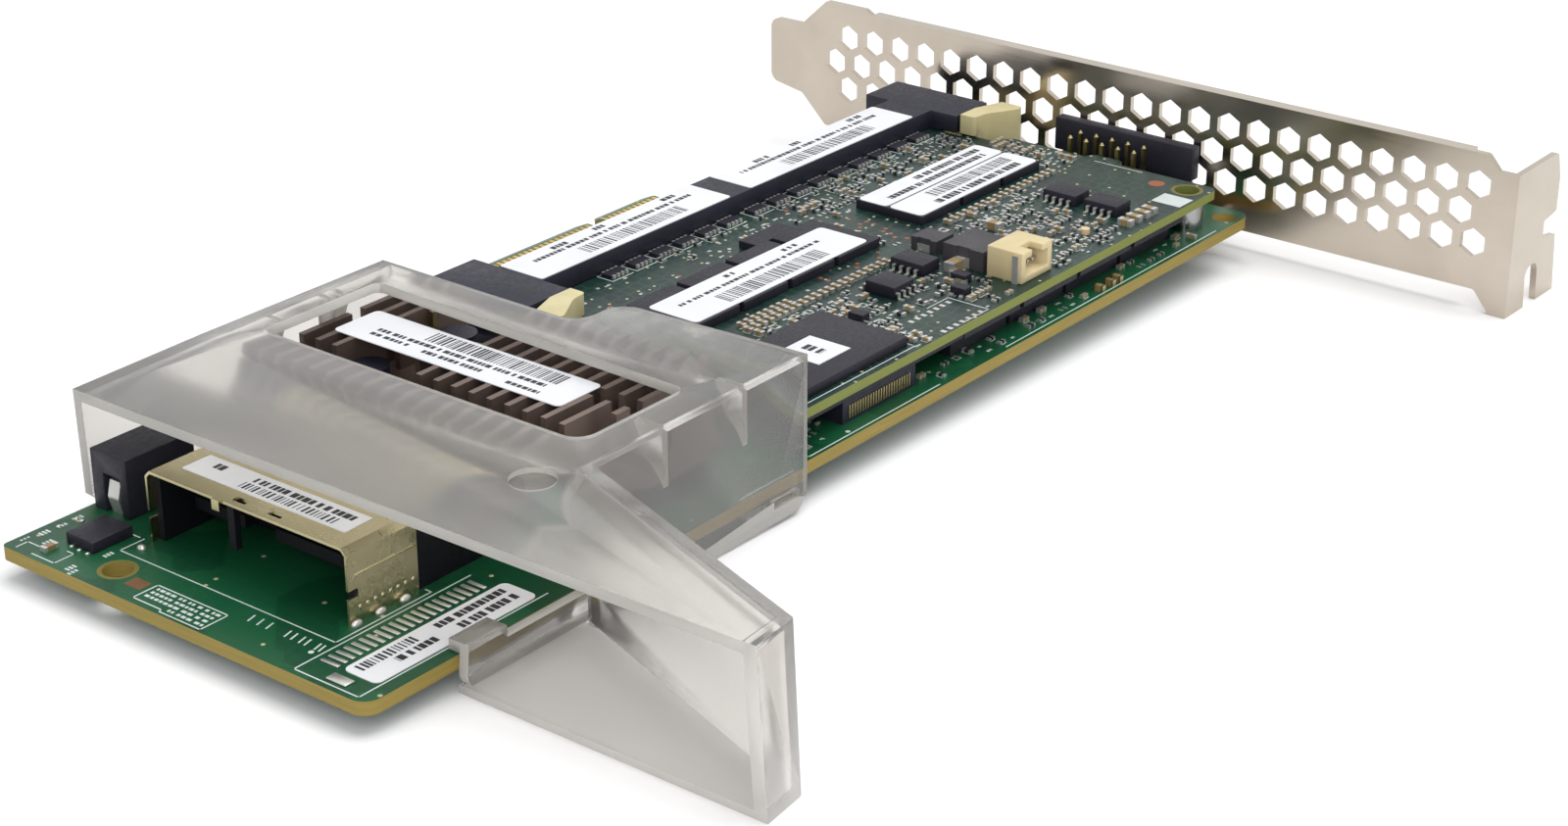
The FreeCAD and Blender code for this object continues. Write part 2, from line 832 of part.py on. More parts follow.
def make_heatsink():
    """Finned block: fins along the card, two cross cuts, and room for the pins."""
    base = block((sink_back, sink_front), (sink_first_fin, sink_last), (sink_seat, fin_root))
    fins = []
    for index in range(fin_count):
        y = fin_start(index)
        fins.append(block((sink_back, sink_front), (y, y + fin_thickness), (fin_root, fin_top)))
    above = (fin_root, fin_top + past)
    cuts = sink_pockets(above)
    for depth in (front_gap_depth, rear_gap_depth):
        cuts.append(block(behind(sink_front, depth), (sink_first_fin - past, sink_last + past),
                          above))
    for place in pin_places:
        cuts.append(rod(place, pin_shaft_radius + pin_fit, (0.0, fin_top)))
    cuts.append(square_post(post_pin_place, post_pin_width + 2 * pin_fit, (0.0, fin_top)))
    return joined(base, *fins).cut(cuts)


def square_post(place, width, z):
    half = width / 2
    return block((place[0] - half, place[0] + half), (place[1] - half, place[1] + half), z)


def make_controller_chip():
    x = (sink_back + sink_front) / 2
    y = (sink_first_fin + sink_last) / 2 + fin_pitch
    body = square_post((x, y), chip_size, (0.0, chip_height))
    through = (-past, chip_height + past)
    room = [square_post(place, 2 * chip_corner_room, through) for place in pin_places]
    room.append(square_post(post_pin_place, 2 * post_pin_room, through))
    return body.cut(room)


def make_push_pins():
    """Sprung plastic pins: round head, shaft through the sink, barbed point below."""
    pins = []
    for place in pin_places:
        low = board_under - pin_point
        head = rod(place, pin_head_radius, (pin_head_top - pin_head_height, pin_head_top))
        shaft = rod(place, pin_shaft_radius, (board_under, pin_head_top - pin_head_height))
        barb = slab([
            (place[0] - pin_barb[1], board_under), (place[0] + pin_barb[1], board_under),
            (place[0] + pin_barb[0], low), (place[0] - pin_barb[0], low),
        ], "xz", (place[1] - pin_barb_thickness / 2, place[1] + pin_barb_thickness / 2))
        pins.append(joined(head, shaft, barb))
    return Part.makeCompound(pins)


def make_pin_springs():
    """The sleeve that each coil spring fills, between the sink and the pin's head."""
    springs = []
    z = (fin_root, pin_head_top - pin_head_height)
    for place in pin_places:
        outer = rod(place, spring_radius, z)
        springs.append(outer.cut(rod(place, spring_radius - spring_wire, z)))
    return Part.makeCompound(springs)


def make_post_pin():
    return square_post(post_pin_place, post_pin_width, (0.0, post_pin_top))


def make_module_board():
    """Cache module: a plug edge with latch notches, then a wider body."""
    inner = plug_notch_depth
    bulge = module_start - bulge_reach
    shape = [
        (module_start, module_edge, module_corner), (module_end, module_edge, module_corner),
        (module_end, module_shoulder, module_corner), (plug_end, module_shoulder),
        (plug_end, plug_notch_y[1]), (plug_end - inner, plug_notch_y[1]),
        (plug_end - inner, plug_notch_y[0]), (plug_end, plug_notch_y[0]),
        (plug_end, plug_tip), (plug_start, plug_tip),
        (plug_start, plug_notch_y[0]), (plug_start + inner, plug_notch_y[0]),
        (plug_start + inner, plug_notch_y[1]), (plug_start, plug_notch_y[1]),
        (plug_start, module_shoulder), (module_start, module_shoulder, module_corner),
        (module_start, bulge_y[0] - bulge_slope), (bulge, bulge_y[0], module_corner),
        (bulge, bulge_y[1], module_corner), (module_start, bulge_y[1] + bulge_slope),
    ]
    board = slab(shape, "xy", (module_bottom, module_top))
    return board.cut(rod(module_hole_place, board_hole_radius, (0.0, module_top + past)))


def make_standoff():
    post = rod(module_hole_place, standoff_radius, (0.0, module_bottom))
    return post.cut(rod(module_hole_place, board_hole_radius, (0.0, module_bottom)))


def make_memory_chips():
    chips = []
    for start, count in zip(memory_starts, memory_counts):
        for index in range(count):
            x = start + index * memory_pitch
            chips.append(chip((x, x + memory_size[0]), (memory_back, memory_back + memory_size[1]),
                              module_top, memory_height))
    return Part.makeCompound(chips)


def make_module_processor():
    return chip(behind(module_end, processor_from_end), processor_y, module_top,
                memory_height)


def make_small_chips():
    return Part.makeCompound(
        [chip(x, y, module_top, small_chip_height) for x, y in small_chips])


def make_coils():
    """Square power inductors with a cut on each end for the terminals."""
    coils = []
    for x, y, height in (large_coil, small_coil):
        body = chip(x, y, module_top, height)
        middle = (y[0] + y[1]) / 2
        cut_y = (middle - coil_cut_width / 2, middle + coil_cut_width / 2)
        for edge in x:
            body = body.cut(chip((edge - coil_cut_depth, edge + coil_cut_depth), cut_y,
                                 module_top, height))
        coils.append(body)
    return Part.makeCompound(coils)


def make_cable_socket():
    """Cream upright socket, open to the outer edge in a C, with room for a plug."""
    wall = cable_socket_wall
    body = block(cable_socket_x, cable_socket_y, (module_top, cable_socket_top))
    hollow = block((cable_socket_x[0] + wall, cable_socket_x[1] - wall),
                   (cable_socket_y[0] + wall, cable_socket_y[1] + past),
                   (module_top + wall, cable_socket_top - wall))
    notch_in, notch_back = cable_socket_notch
    notch = block((cable_socket_x[0] + notch_in, cable_socket_x[1] - notch_in),
                  (cable_socket_y[1] - notch_back, cable_socket_y[1] + past),
                  (module_top + wall, cable_socket_top + past))
    return body.cut([hollow, notch])


def make_cable_socket_pins():
    """Contacts inside the socket, and a bright strip down its near side."""
    middle = (cable_socket_x[0] + cable_socket_x[1]) / 2
    z = (module_top + cable_socket_top - cable_pin) / 2
    back = cable_socket_y[0] + cable_socket_wall
    pins = []
    for offset in cable_pin_places:
        start = middle + offset - cable_pin / 2
        pins.append(block((start, start + cable_pin), (back, cable_socket_y[1] - cable_pin_setback),
                          (z, z + cable_pin)))
    side = cable_socket_x[1]
    pins.append(block((side, side + cable_strip), behind(cable_socket_y[1], cable_strip_in),
                      (module_top, cable_socket_top - cable_strip_drop)))
    return Part.makeCompound(pins)


def tower_cuts():
    """What is taken from the far tower: latch slot, pin hole and side groove."""
    inner = plug_start + tower_overlap
    outer = inner - tower_length
    pin_x = latch_axis()[0]
    ahead = tower_front + past
    slot = block((outer - past, pin_x + latch_arm / 2 + latch_clearance),
                 (latch_pin_y - latch_hub_radius - latch_clearance, ahead),
                 (latch_bottom - latch_clearance, latch_arm_top + latch_clearance))
    pocket = rod(latch_axis(), latch_hub_radius + latch_clearance,
                 (latch_bottom - latch_clearance, latch_arm_top + latch_clearance))
    hook = block((pin_x, inner + past), (plug_notch_y[0] - latch_clearance, ahead),
                 (module_bottom - latch_clearance, module_top + latch_clearance))
    guide = block((plug_start - socket_slot_play, inner + past),
                  (plug_tip - socket_slot_play, ahead),
                  (module_bottom - socket_slot_play, module_top + socket_slot_play))
    groove = block((outer - past, outer + tower_groove_depth),
                   (tower_back + tower_groove_y[0], tower_back + tower_groove_y[1]),
                   tower_groove)
    bore = rod(latch_axis(), latch_pin_radius, latch_pin_span())
    return [slot, pocket, hook, guide, groove, bore]


def latch_axis():
    """Where the far latch turns, in plan."""
    return (plug_start + tower_overlap - tower_length + latch_pin_inset, latch_pin_y)


def latch_pin_span():
    """The pins stop short of the tower's top and of the board."""
    return (latch_pin_cover, socket_top - latch_pin_cover)


def make_socket_housing():
    """Right-angle module socket: a long slotted bar between two latch towers."""
    inner = plug_start + tower_overlap
    far_inner = plug_end - tower_overlap
    bar = block((inner, far_inner), (socket_back, socket_front), (0.0, socket_top))
    slot = block((plug_start - socket_slot_play, plug_end + socket_slot_play),
                 (plug_tip - socket_slot_play, socket_front + past),
                 (module_bottom - socket_slot_play, module_top + socket_slot_play))
    tower = block((inner - tower_length, inner), (tower_back, tower_front), (0.0, socket_top))
    tower = tower.cut(tower_cuts())
    return joined(bar.cut(slot), tower, mirrored(tower))


def make_socket_leads():
    """A row of solder feet along the socket's back."""
    start = plug_start + tower_overlap + lead_pitch
    count = int((plug_length - 2 * tower_overlap - 2 * lead_pitch) / lead_pitch) + 1
    leads = []
    for index in range(count):
        x = start + index * lead_pitch
        leads.append(block((x - lead_width / 2, x + lead_width / 2),
                           (socket_back - lead_reach, socket_back), (0.0, lead_thickness)))
    return Part.makeCompound(leads)


def make_latch():
    """Far latch: hub, arm, hook in the module's notch, and a scooped thumb tab."""
    x, y = latch_axis()
    tower_outer = plug_start + tower_overlap - tower_length
    outer = tower_outer - latch_outer_past
    inner = plug_start + plug_notch_depth - latch_clearance
    half = latch_arm / 2
    hub = rod((x, y), latch_hub_radius, (latch_bottom, latch_arm_top))
    arm = block((x - half, x + half), (y, latch_tab_y[0] + latch_arm_root), (latch_bottom, latch_arm_top))
    hook_y = (plug_notch_y[0] + latch_clearance, plug_notch_y[1] - latch_hook_slack)
    hook = block((x, inner), hook_y, (module_bottom, module_top))
    inset, rise, scoop = latch_scoop
    tab_plan = [
        (x, latch_tab_y[0]), (plug_start - latch_running, latch_tab_y[0]),
        (plug_start - latch_running, latch_tip_y), (x + inset, latch_tip_y + rise, scoop),
        (outer + latch_thumb, latch_tab_y[1], latch_tab_corner),
        (outer, latch_tab_y[1], latch_tab_corner), (outer, latch_tab_y[0] + latch_flare),
    ]
    tab = slab(tab_plan, "xy", (latch_bottom, latch_top))
    tip_plan = [
        (x, latch_tab_y[0]), (inner, latch_tab_y[0]),
        (inner, latch_tip_y, latch_tab_corner), (x + inset, latch_tip_y + rise),
    ]
    tip = slab(tip_plan, "xy", (module_top + latch_clearance, latch_top))
    bore = rod((x, y), latch_pin_radius + latch_running, (0.0, latch_top))
    return joined(hub, arm, hook, tab, tip).cut(bore)


def make_latch_pins():
    pin = rod(latch_axis(), latch_pin_radius, latch_pin_span())
    return Part.makeCompound([pin, mirrored(pin)])


def make_header_base():
    size = (header_rows * header_pitch, header_columns * header_pitch)
    return block((header_x, header_x + size[0]), (header_y, header_y + size[1]),
                 (0.0, header_base))


def make_header_pins():
    pins = []
    half = header_pin / 2
    for row in range(header_rows):
        for column in range(header_columns):
            x = header_x + (row + 0.5) * header_pitch
            y = header_y + (column + 0.5) * header_pitch
            pins.append(block((x - half, x + half), (y - half, y + half),
                              (header_base, header_pin_top)))
    return Part.makeCompound(pins)


def make_joiner_socket():
    """Lower half of the board-to-board connector: an open-topped trough."""
    wall = joiner_wall
    joiner_x = behind(module_end, joiner_from_end)
    body = block(joiner_x, joiner_y, (0.0, joiner_split))
    trough = block((joiner_x[0] + wall, joiner_x[1] - wall),
                   (joiner_y[0] + wall, joiner_y[1] - wall), (wall, joiner_split + past))
    return body.cut(trough)


def make_joiner_plug():
    """Upper half, hung under the module, with its rib down in the trough."""
    wall = joiner_wall + joiner_play
    joiner_x = behind(module_end, joiner_from_end)
    body = block(joiner_x, joiner_y, (joiner_split, module_bottom))
    rib = block((joiner_x[0] + wall, joiner_x[1] - wall),
                (joiner_y[0] + wall, joiner_y[1] - wall), (joiner_wall, joiner_split))
    return joined(body, rib)


def make_socket_labels():
    """Two equal labels along the socket's top."""
    start = plug_start + socket_label_ends[0]
    end = plug_end - socket_label_ends[1]
    length = (end - start - socket_label_gap) / 2
    y = (socket_back + socket_label_margin, socket_front - socket_label_margin)
    labels = [label(x, y, socket_top) for x in ((start, start + length), (end - length, end))]
    return Part.makeCompound(labels)


def make_module_labels():
    seat = module_top + memory_height
    labels = [label(long_label_x, long_label_y, seat)]
    for y in paired_label_rows:
        labels.append(label(paired_label_x, y, seat))
    return Part.makeCompound(labels)


def make_parts():
    """Every piece of the card by its name."""
    latch = make_latch()
    return {
        "bracket": make_bracket(),
        "bracket_screws": make_bracket_screws(),
        "main_board": make_main_board(),
        "edge_contacts": make_edge_contacts(),
        "port_cage": make_port_cage(),
        "port_housing": make_port_housing(),
        "port_contacts": make_port_contacts(),
        "side_connector": make_side_connector(),
        "side_contact": make_side_contact(),
        "end_chip": make_end_chip(),
        "air_duct": make_air_duct(),
        "heatsink": make_heatsink(),
        "controller_chip": make_controller_chip(),
        "push_pins": make_push_pins(),
        "pin_springs": make_pin_springs(),
        "post_pin": make_post_pin(),
        "module_board": make_module_board(),
        "module_standoff": make_standoff(),
        "memory_chips": make_memory_chips(),
        "module_processor": make_module_processor(),
        "small_chips": make_small_chips(),
        "coils": make_coils(),
        "cable_socket": make_cable_socket(),
        "cable_socket_pins": make_cable_socket_pins(),
        "socket_housing": make_socket_housing(),
        "socket_leads": make_socket_leads(),
        "latch_far": latch,
        "latch_near": mirrored(latch),
        "latch_pins": make_latch_pins(),
        "header_base": make_header_base(),
        "header_pins": make_header_pins(),
        "joiner_socket": make_joiner_socket(),
        "joiner_plug": make_joiner_plug(),
        "heatsink_label": label(behind(sink_front, sink_label_depth), sink_label_y, fin_top),
        "port_label": label(behind(port_front, port_label_depth), port_label_y, port_top),
        "board_label": label(behind(card_length, board_label_from_end), board_label_y, 0.0),
        "socket_labels": make_socket_labels(),
        "module_labels": make_module_labels(),
        "processor_sticker": label(behind(module_end, sticker_from_end), sticker_y,
                                   module_top + memory_height),
    }


def main():
    parts = make_parts()
    whole = FreeCAD.BoundBox()
    for shape in parts.values():
        whole.add(shape.BoundBox)
    to_origin = at(-whole.Center.x, -whole.Center.y, -whole.ZMin)
    os.makedirs("parts", exist_ok=True)
    for name, shape in parts.items():
        shape.translate(to_origin)
        shape.exportStep("parts/" + name + ".step")
    print("moved by", [round(value, 4) for value in to_origin])


main()
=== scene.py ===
"""Finishes, printed marks and small soldered parts of a raid controller card.

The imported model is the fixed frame. Places are given as on the card itself: x in
millimetres from the bracket's inner face, y from the board's outer long edge
(negative towards the edge connector), z from the component side.
"""

import logging
import math
import random
from dataclasses import dataclass
from enum import Enum
from functools import cache
from typing import Callable, Iterable, Sequence

import bmesh
import bpy
from mathutils import Matrix, Vector


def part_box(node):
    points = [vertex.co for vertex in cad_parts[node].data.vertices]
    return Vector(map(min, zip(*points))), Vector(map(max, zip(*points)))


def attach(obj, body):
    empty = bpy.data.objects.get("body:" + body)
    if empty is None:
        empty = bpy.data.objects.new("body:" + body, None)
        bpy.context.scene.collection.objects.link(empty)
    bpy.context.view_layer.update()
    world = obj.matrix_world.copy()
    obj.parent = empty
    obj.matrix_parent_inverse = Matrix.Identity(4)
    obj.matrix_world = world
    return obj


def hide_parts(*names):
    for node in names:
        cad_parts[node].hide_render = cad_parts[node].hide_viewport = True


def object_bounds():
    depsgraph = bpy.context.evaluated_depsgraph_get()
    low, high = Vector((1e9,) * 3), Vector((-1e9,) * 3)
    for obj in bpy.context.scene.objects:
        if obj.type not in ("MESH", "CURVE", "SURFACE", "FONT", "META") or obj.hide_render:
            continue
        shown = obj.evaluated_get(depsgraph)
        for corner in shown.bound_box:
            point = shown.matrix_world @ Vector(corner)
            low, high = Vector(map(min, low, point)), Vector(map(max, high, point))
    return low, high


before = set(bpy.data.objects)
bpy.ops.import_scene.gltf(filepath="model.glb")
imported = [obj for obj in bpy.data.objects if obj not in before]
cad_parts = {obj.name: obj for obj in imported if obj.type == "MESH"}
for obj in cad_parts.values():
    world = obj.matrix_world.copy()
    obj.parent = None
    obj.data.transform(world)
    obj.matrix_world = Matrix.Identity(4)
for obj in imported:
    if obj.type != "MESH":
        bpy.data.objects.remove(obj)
CAD_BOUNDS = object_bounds()

LOG = logging.getLogger("card")
MM = 0.001
CARD = "card"
UPRIGHT_DRIFT = 0.001 * MM

Place = tuple[float, float, float]
Span = tuple[float, float]
Colour = tuple[float, float, float]
Plan = tuple[Span, Span]


def srgb(red: int, green: int, blue: int) -> Colour:
    """Turn a colour as seen on screen into the linear one that a shader takes.

    Args:
        red: Red from 0 to 255.
        green: Green from 0 to 255.
        blue: Blue from 0 to 255.

    Returns:
        The linear colour.
    """
    channels = []
    for value in (red, green, blue):
        share = value / 255.0
        low = share / 12.92
        high = ((share + 0.055) / 1.055) ** 2.4
        channels.append(low if share <= 0.04045 else high)
    return (channels[0], channels[1], channels[2])


def around(middle: float, half: float) -> Span:
    """Return the span that reaches half to each side of a middle."""
    return (middle - half, middle + half)


def ordered(first: float, second: float) -> Span:
    """Return two numbers as a span, the lower one first."""
    return (min(first, second), max(first, second))


@dataclass
class Datum:
    """Where the card's own zero lies in the frame, read from the board's solid."""

    board_start: float = 2.7

    def __post_init__(self) -> None:
        """Read the board's box."""
        low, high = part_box("main_board")
        self.zero = Vector((low.x - self.board_start * MM, high.y, high.z))

    def at(self, x: float, y: float, z: float) -> Vector:
        """Return the frame position, in metres, of a place on the card."""
        return self.zero + Vector((x, y, z)) * MM


DATUM = Datum()


class Graph:
    """A node tree with short ways to add and join nodes."""

    def __init__(self, tree: bpy.types.NodeTree) -> None:
        """Keep the tree that the nodes go into."""
        self.tree = tree

    def join(self, value: object, target: bpy.types.NodeSocket) -> None:
        """Feed an input.

        Args:
            value: A socket to link, a constant to set, or None to leave it alone.
            target: The input.
        """
        if isinstance(value, bpy.types.NodeSocket):
            self.tree.links.new(value, target)
        elif value is not None:
            target.default_value = value

    def feed(self, node: bpy.types.Node, inputs: dict[str | int, object]) -> None:
        """Feed several inputs of a node.

        Args:
            node: The node.
            inputs: A socket or a constant for each input's name or index.
        """
        for key, value in inputs.items():
            self.join(value, node.inputs[key])

    def node(self, kind: str, inputs: dict[str | int, object] | None = None,
             **settings: object) -> bpy.types.Node:
        """Add a node.

        Args:
            kind: The node's type, without its prefix where that is ShaderNode.
            inputs: What feeds its inputs.
            **settings: Attributes of the node to set.

        Returns:
            The new node.
        """
        prefix = "" if kind.startswith("NodeGroup") else "ShaderNode"
        made = self.tree.nodes.new(prefix + kind)
        for name, value in settings.items():
            setattr(made, name, value)
        self.feed(made, inputs or {})
        return made

    def math(self, operation: str, first: object, second: object = None) -> bpy.types.NodeSocket:
        """Add a Math node.

        Args:
            operation: Blender's name of the operation.
            first: A socket or a number.
            second: A socket, a number, or None.

        Returns:
            The result's socket.
        """
        return self.node("Math", {0: first, 1: second}, operation=operation).outputs[0]

    def mix(self, share: object, first: object, second: object) -> bpy.types.NodeSocket:
        """Blend two colours.

        Args:
            share: A socket or number, 0 for the first colour.
            first: A socket or a linear colour.
            second: A socket or a linear colour.

        Returns:
            The blended colour's socket.
        """
        made = self.node("Mix", {"Factor": share}, data_type="RGBA")
        colours = [socket for socket in made.inputs if socket.type == "RGBA"]
        for socket, value in zip(colours, (first, second)):
            self.join((*value, 1.0) if isinstance(value, tuple) else value, socket)
        return [socket for socket in made.outputs if socket.type == "RGBA"][0]

    def band(self, value: bpy.types.NodeSocket, low: float, high: float,
             bottom: float = 0.0, top: float = 1.0) -> bpy.types.NodeSocket:
        """Map a stretch of a value onto another.

        Args:
            value: The value's socket.
            low: Where the stretch starts.
            high: Where it ends.
            bottom: What its start becomes.
            top: What its end becomes.

        Returns:
            The mapped value's socket.
        """
        limits = {"From Min": low, "From Max": high, "To Min": bottom, "To Max": top}
        return self.node("MapRange", {"Value": value, **limits}).outputs["Result"]


class Groups:
    """Shader node groups that several finishes share, each built once."""

    bump_depth: float = 0.02 * MM
    smudge_band: Span = (0.32, 0.68)
    run_band: Span = (0.04, 0.09)
    run_unevenness: float = 0.55
    via_band: Span = (0.13, 0.18)
    pour_cells: float = 120.0

    @staticmethod
    def _start(name: str, inputs: Sequence[tuple[str, float | None]],
               outputs: Sequence[str]) -> tuple[Graph, bpy.types.Node, bpy.types.Node]:
        """Make a group with its sockets.

        Args:
            name: The group's name.
            inputs: Name and default of each input, None for a vector.
            outputs: Name of each output, which is a vector if it is Normal.

        Returns:
            The group's graph, its input node and its output node.
        """
        tree = bpy.data.node_groups.new(name, "ShaderNodeTree")
        for label, default in inputs:
            kind = "NodeSocketVector" if default is None else "NodeSocketFloat"
            socket = tree.interface.new_socket(label, in_out="INPUT", socket_type=kind)
            if default is not None:
                socket.default_value = default
        for label in outputs:
            kind = "NodeSocketVector" if label == "Normal" else "NodeSocketFloat"
            tree.interface.new_socket(label, in_out="OUTPUT", socket_type=kind)
        graph = Graph(tree)
        return graph, graph.node("NodeGroupInput"), graph.node("NodeGroupOutput")

    @staticmethod
    @cache
    def grain() -> bpy.types.NodeTree:
        """Fine surface grain.

        Returns:
            The group: a shade from 0 to 1 and the normal that it bumps.
        """
        graph, source, result = Groups._start(
            "surface_grain", (("Vector", None), ("Scale", 1500.0), ("Depth", 0.3)),
            ("Shade", "Normal"))
        noise = graph.node("TexNoise", {"Vector": source.outputs["Vector"], "Detail": 4.0,
                                        "Scale": source.outputs["Scale"]})
        bump = graph.node("Bump", {"Distance": Groups.bump_depth,
                                   "Strength": source.outputs["Depth"],
                                   "Height": noise.outputs["Fac"]})
        graph.feed(result, {"Shade": noise.outputs["Fac"], "Normal": bump.outputs["Normal"]})
        return graph.tree

    @staticmethod
    @cache
    def smudge() -> bpy.types.NodeTree:
        """Soft uneven patches, as of handling.

        Returns:
            The group: a shade from 0 to 1.
        """
        graph, source, result = Groups._start(
            "soft_smudge", (("Vector", None), ("Scale", 60.0)), ("Shade",))
        noise = graph.node("TexNoise", {"Vector": source.outputs["Vector"], "Detail": 6.0,
                                        "Scale": source.outputs["Scale"], "Roughness": 0.6})
        graph.feed(result, {"Shade": graph.band(noise.outputs["Fac"], *Groups.smudge_band)})
        return graph.tree

    @staticmethod
    @cache
    def circuitry() -> bpy.types.NodeTree:
        """Masks of a circuit board.

        Returns:
            The group: copper runs under the mask, poured patches and tinned vias.
        """
        graph, source, result = Groups._start(
            "board_circuitry",
            (("Vector", None), ("Runs", 620.0), ("Vias", 620.0), ("Rarity", 0.9)),
            ("Run", "Pour", "Via"))
        vector = source.outputs["Vector"]

        def cells(scale: object, **settings: object) -> bpy.types.Node:
            """Add a flat cell pattern of one scale."""
            return graph.node("TexVoronoi", {"Vector": vector, "Scale": scale},
                              voronoi_dimensions="2D", **settings)

        edges = cells(source.outputs["Runs"], feature="DISTANCE_TO_EDGE")
        edges.inputs["Randomness"].default_value = Groups.run_unevenness
        patches = cells(Groups.pour_cells, distance="CHEBYCHEV")
        dots = cells(source.outputs["Vias"])
        pour, chosen = (graph.node("SeparateColor", {"Color": pattern.outputs["Color"]})
                        for pattern in (patches, dots))
        rare = graph.math("GREATER_THAN", chosen.outputs["Red"], source.outputs["Rarity"])
        dot = graph.band(dots.outputs["Distance"], *Groups.via_band, 1.0, 0.0)
        graph.feed(result, {
            "Run": graph.band(edges.outputs["Distance"], *Groups.run_band, 1.0, 0.0),
            "Pour": pour.outputs["Green"],
            "Via": graph.math("MULTIPLY", dot, rare),
        })
        return graph.tree


class Finish:
    """A surface finish that builds one material, once."""

    name: str
    _materials: dict[str, bpy.types.Material] = {}

    def material(self) -> bpy.types.Material:
        """Build this finish's material on first use.

        Returns:
            The material.
        """
        if self.name not in Finish._materials:
            made = bpy.data.materials.new(self.name)
            made.use_nodes = True
            graph = Graph(made.node_tree)
            graph.feed(made.node_tree.nodes["Principled BSDF"], self.surface(graph))
            Finish._materials[self.name] = made
        return Finish._materials[self.name]

    def surface(self, graph: Graph) -> dict[str, object]:
        """Return what feeds the shader's inputs; each finish has its own."""
        raise NotImplementedError

    @staticmethod
    def place(graph: Graph, scale: Place = (1.0, 1.0, 1.0)) -> bpy.types.NodeSocket:
        """Add Object coordinates.

        Args:
            graph: The material's graph.
            scale: How much they are stretched along each axis.

        Returns:
            Their socket.
        """
        source = graph.node("TexCoord").outputs["Object"]
        return graph.node("Mapping", {"Scale": scale, "Vector": source}).outputs["Vector"]

    @staticmethod
    def group(graph: Graph, tree: bpy.types.NodeTree, vector: bpy.types.NodeSocket,
              **values: float) -> bpy.types.NodeOutputs:
        """Place a shared group with its own values.

        Args:
            graph: The material's graph.
            tree: The group.
            vector: What feeds its Vector input.
            **values: Its other inputs by name.

        Returns:
            The group node's outputs.
        """
        made = graph.node("Group", node_tree=tree)
        graph.feed(made, {"Vector": vector, **values})
        return made.outputs


@dataclass(frozen=True)
class Moulded(Finish):
    """Moulded plastic, ceramic or chip compound with a fine grain."""

    name: str
    colour: Colour
    shade: Colour
    roughness: float = 0.5
    grain: float = 1800.0
    depth: float = 0.4
    shine: float = 0.5
    patches: float = 150.0
    spread: float = 0.08

    def surface(self, graph: Graph) -> dict[str, object]:
        """Vary colour and roughness softly and bump the grain.

        Args:
            graph: The material's graph.

        Returns:
            What feeds the shader's inputs.
        """
        vector = self.place(graph)
        fine = self.group(graph, Groups.grain(), vector, Scale=self.grain, Depth=self.depth)
        patch = self.group(graph, Groups.smudge(), vector, Scale=self.patches)["Shade"]
        return {
            "Base Color": graph.mix(patch, self.shade, self.colour),
            "Roughness": graph.band(fine["Shade"], 0.3, 0.7, *around(self.roughness, self.spread)),
            "Normal": fine["Normal"],
            "Specular IOR Level": self.shine,
        }


@dataclass(frozen=True)
class Rolled(Finish):
    """Sheet or plated metal, with fine lines along one axis."""

    name: str
    colour: Colour
    shade: Colour
    roughness: float = 0.3
    lines: Place = (1.0, 1.0, 1.0)
    scale: float = 900.0
    depth: float = 0.25
    metal: float = 1.0
    patches: float = 45.0

    def surface(self, graph: Graph) -> dict[str, object]:
        """Draw the rolling lines into colour, gloss and bump.

        Args:
            graph: The material's graph.

        Returns:
            What feeds the shader's inputs.
        """
        drawn = self.place(graph, self.lines)
        fine = self.group(graph, Groups.grain(), drawn, Scale=self.scale, Depth=self.depth)
        patch = self.group(graph, Groups.smudge(), self.place(graph), Scale=self.patches)["Shade"]
        both = graph.math("ADD", fine["Shade"], patch)
        return {
            "Base Color": graph.mix(patch, self.shade, self.colour),
            "Roughness": graph.band(both, 0.4, 1.6, self.roughness - 0.07, self.roughness + 0.09),
            "Normal": fine["Normal"],
            "Metallic": self.metal,
        }


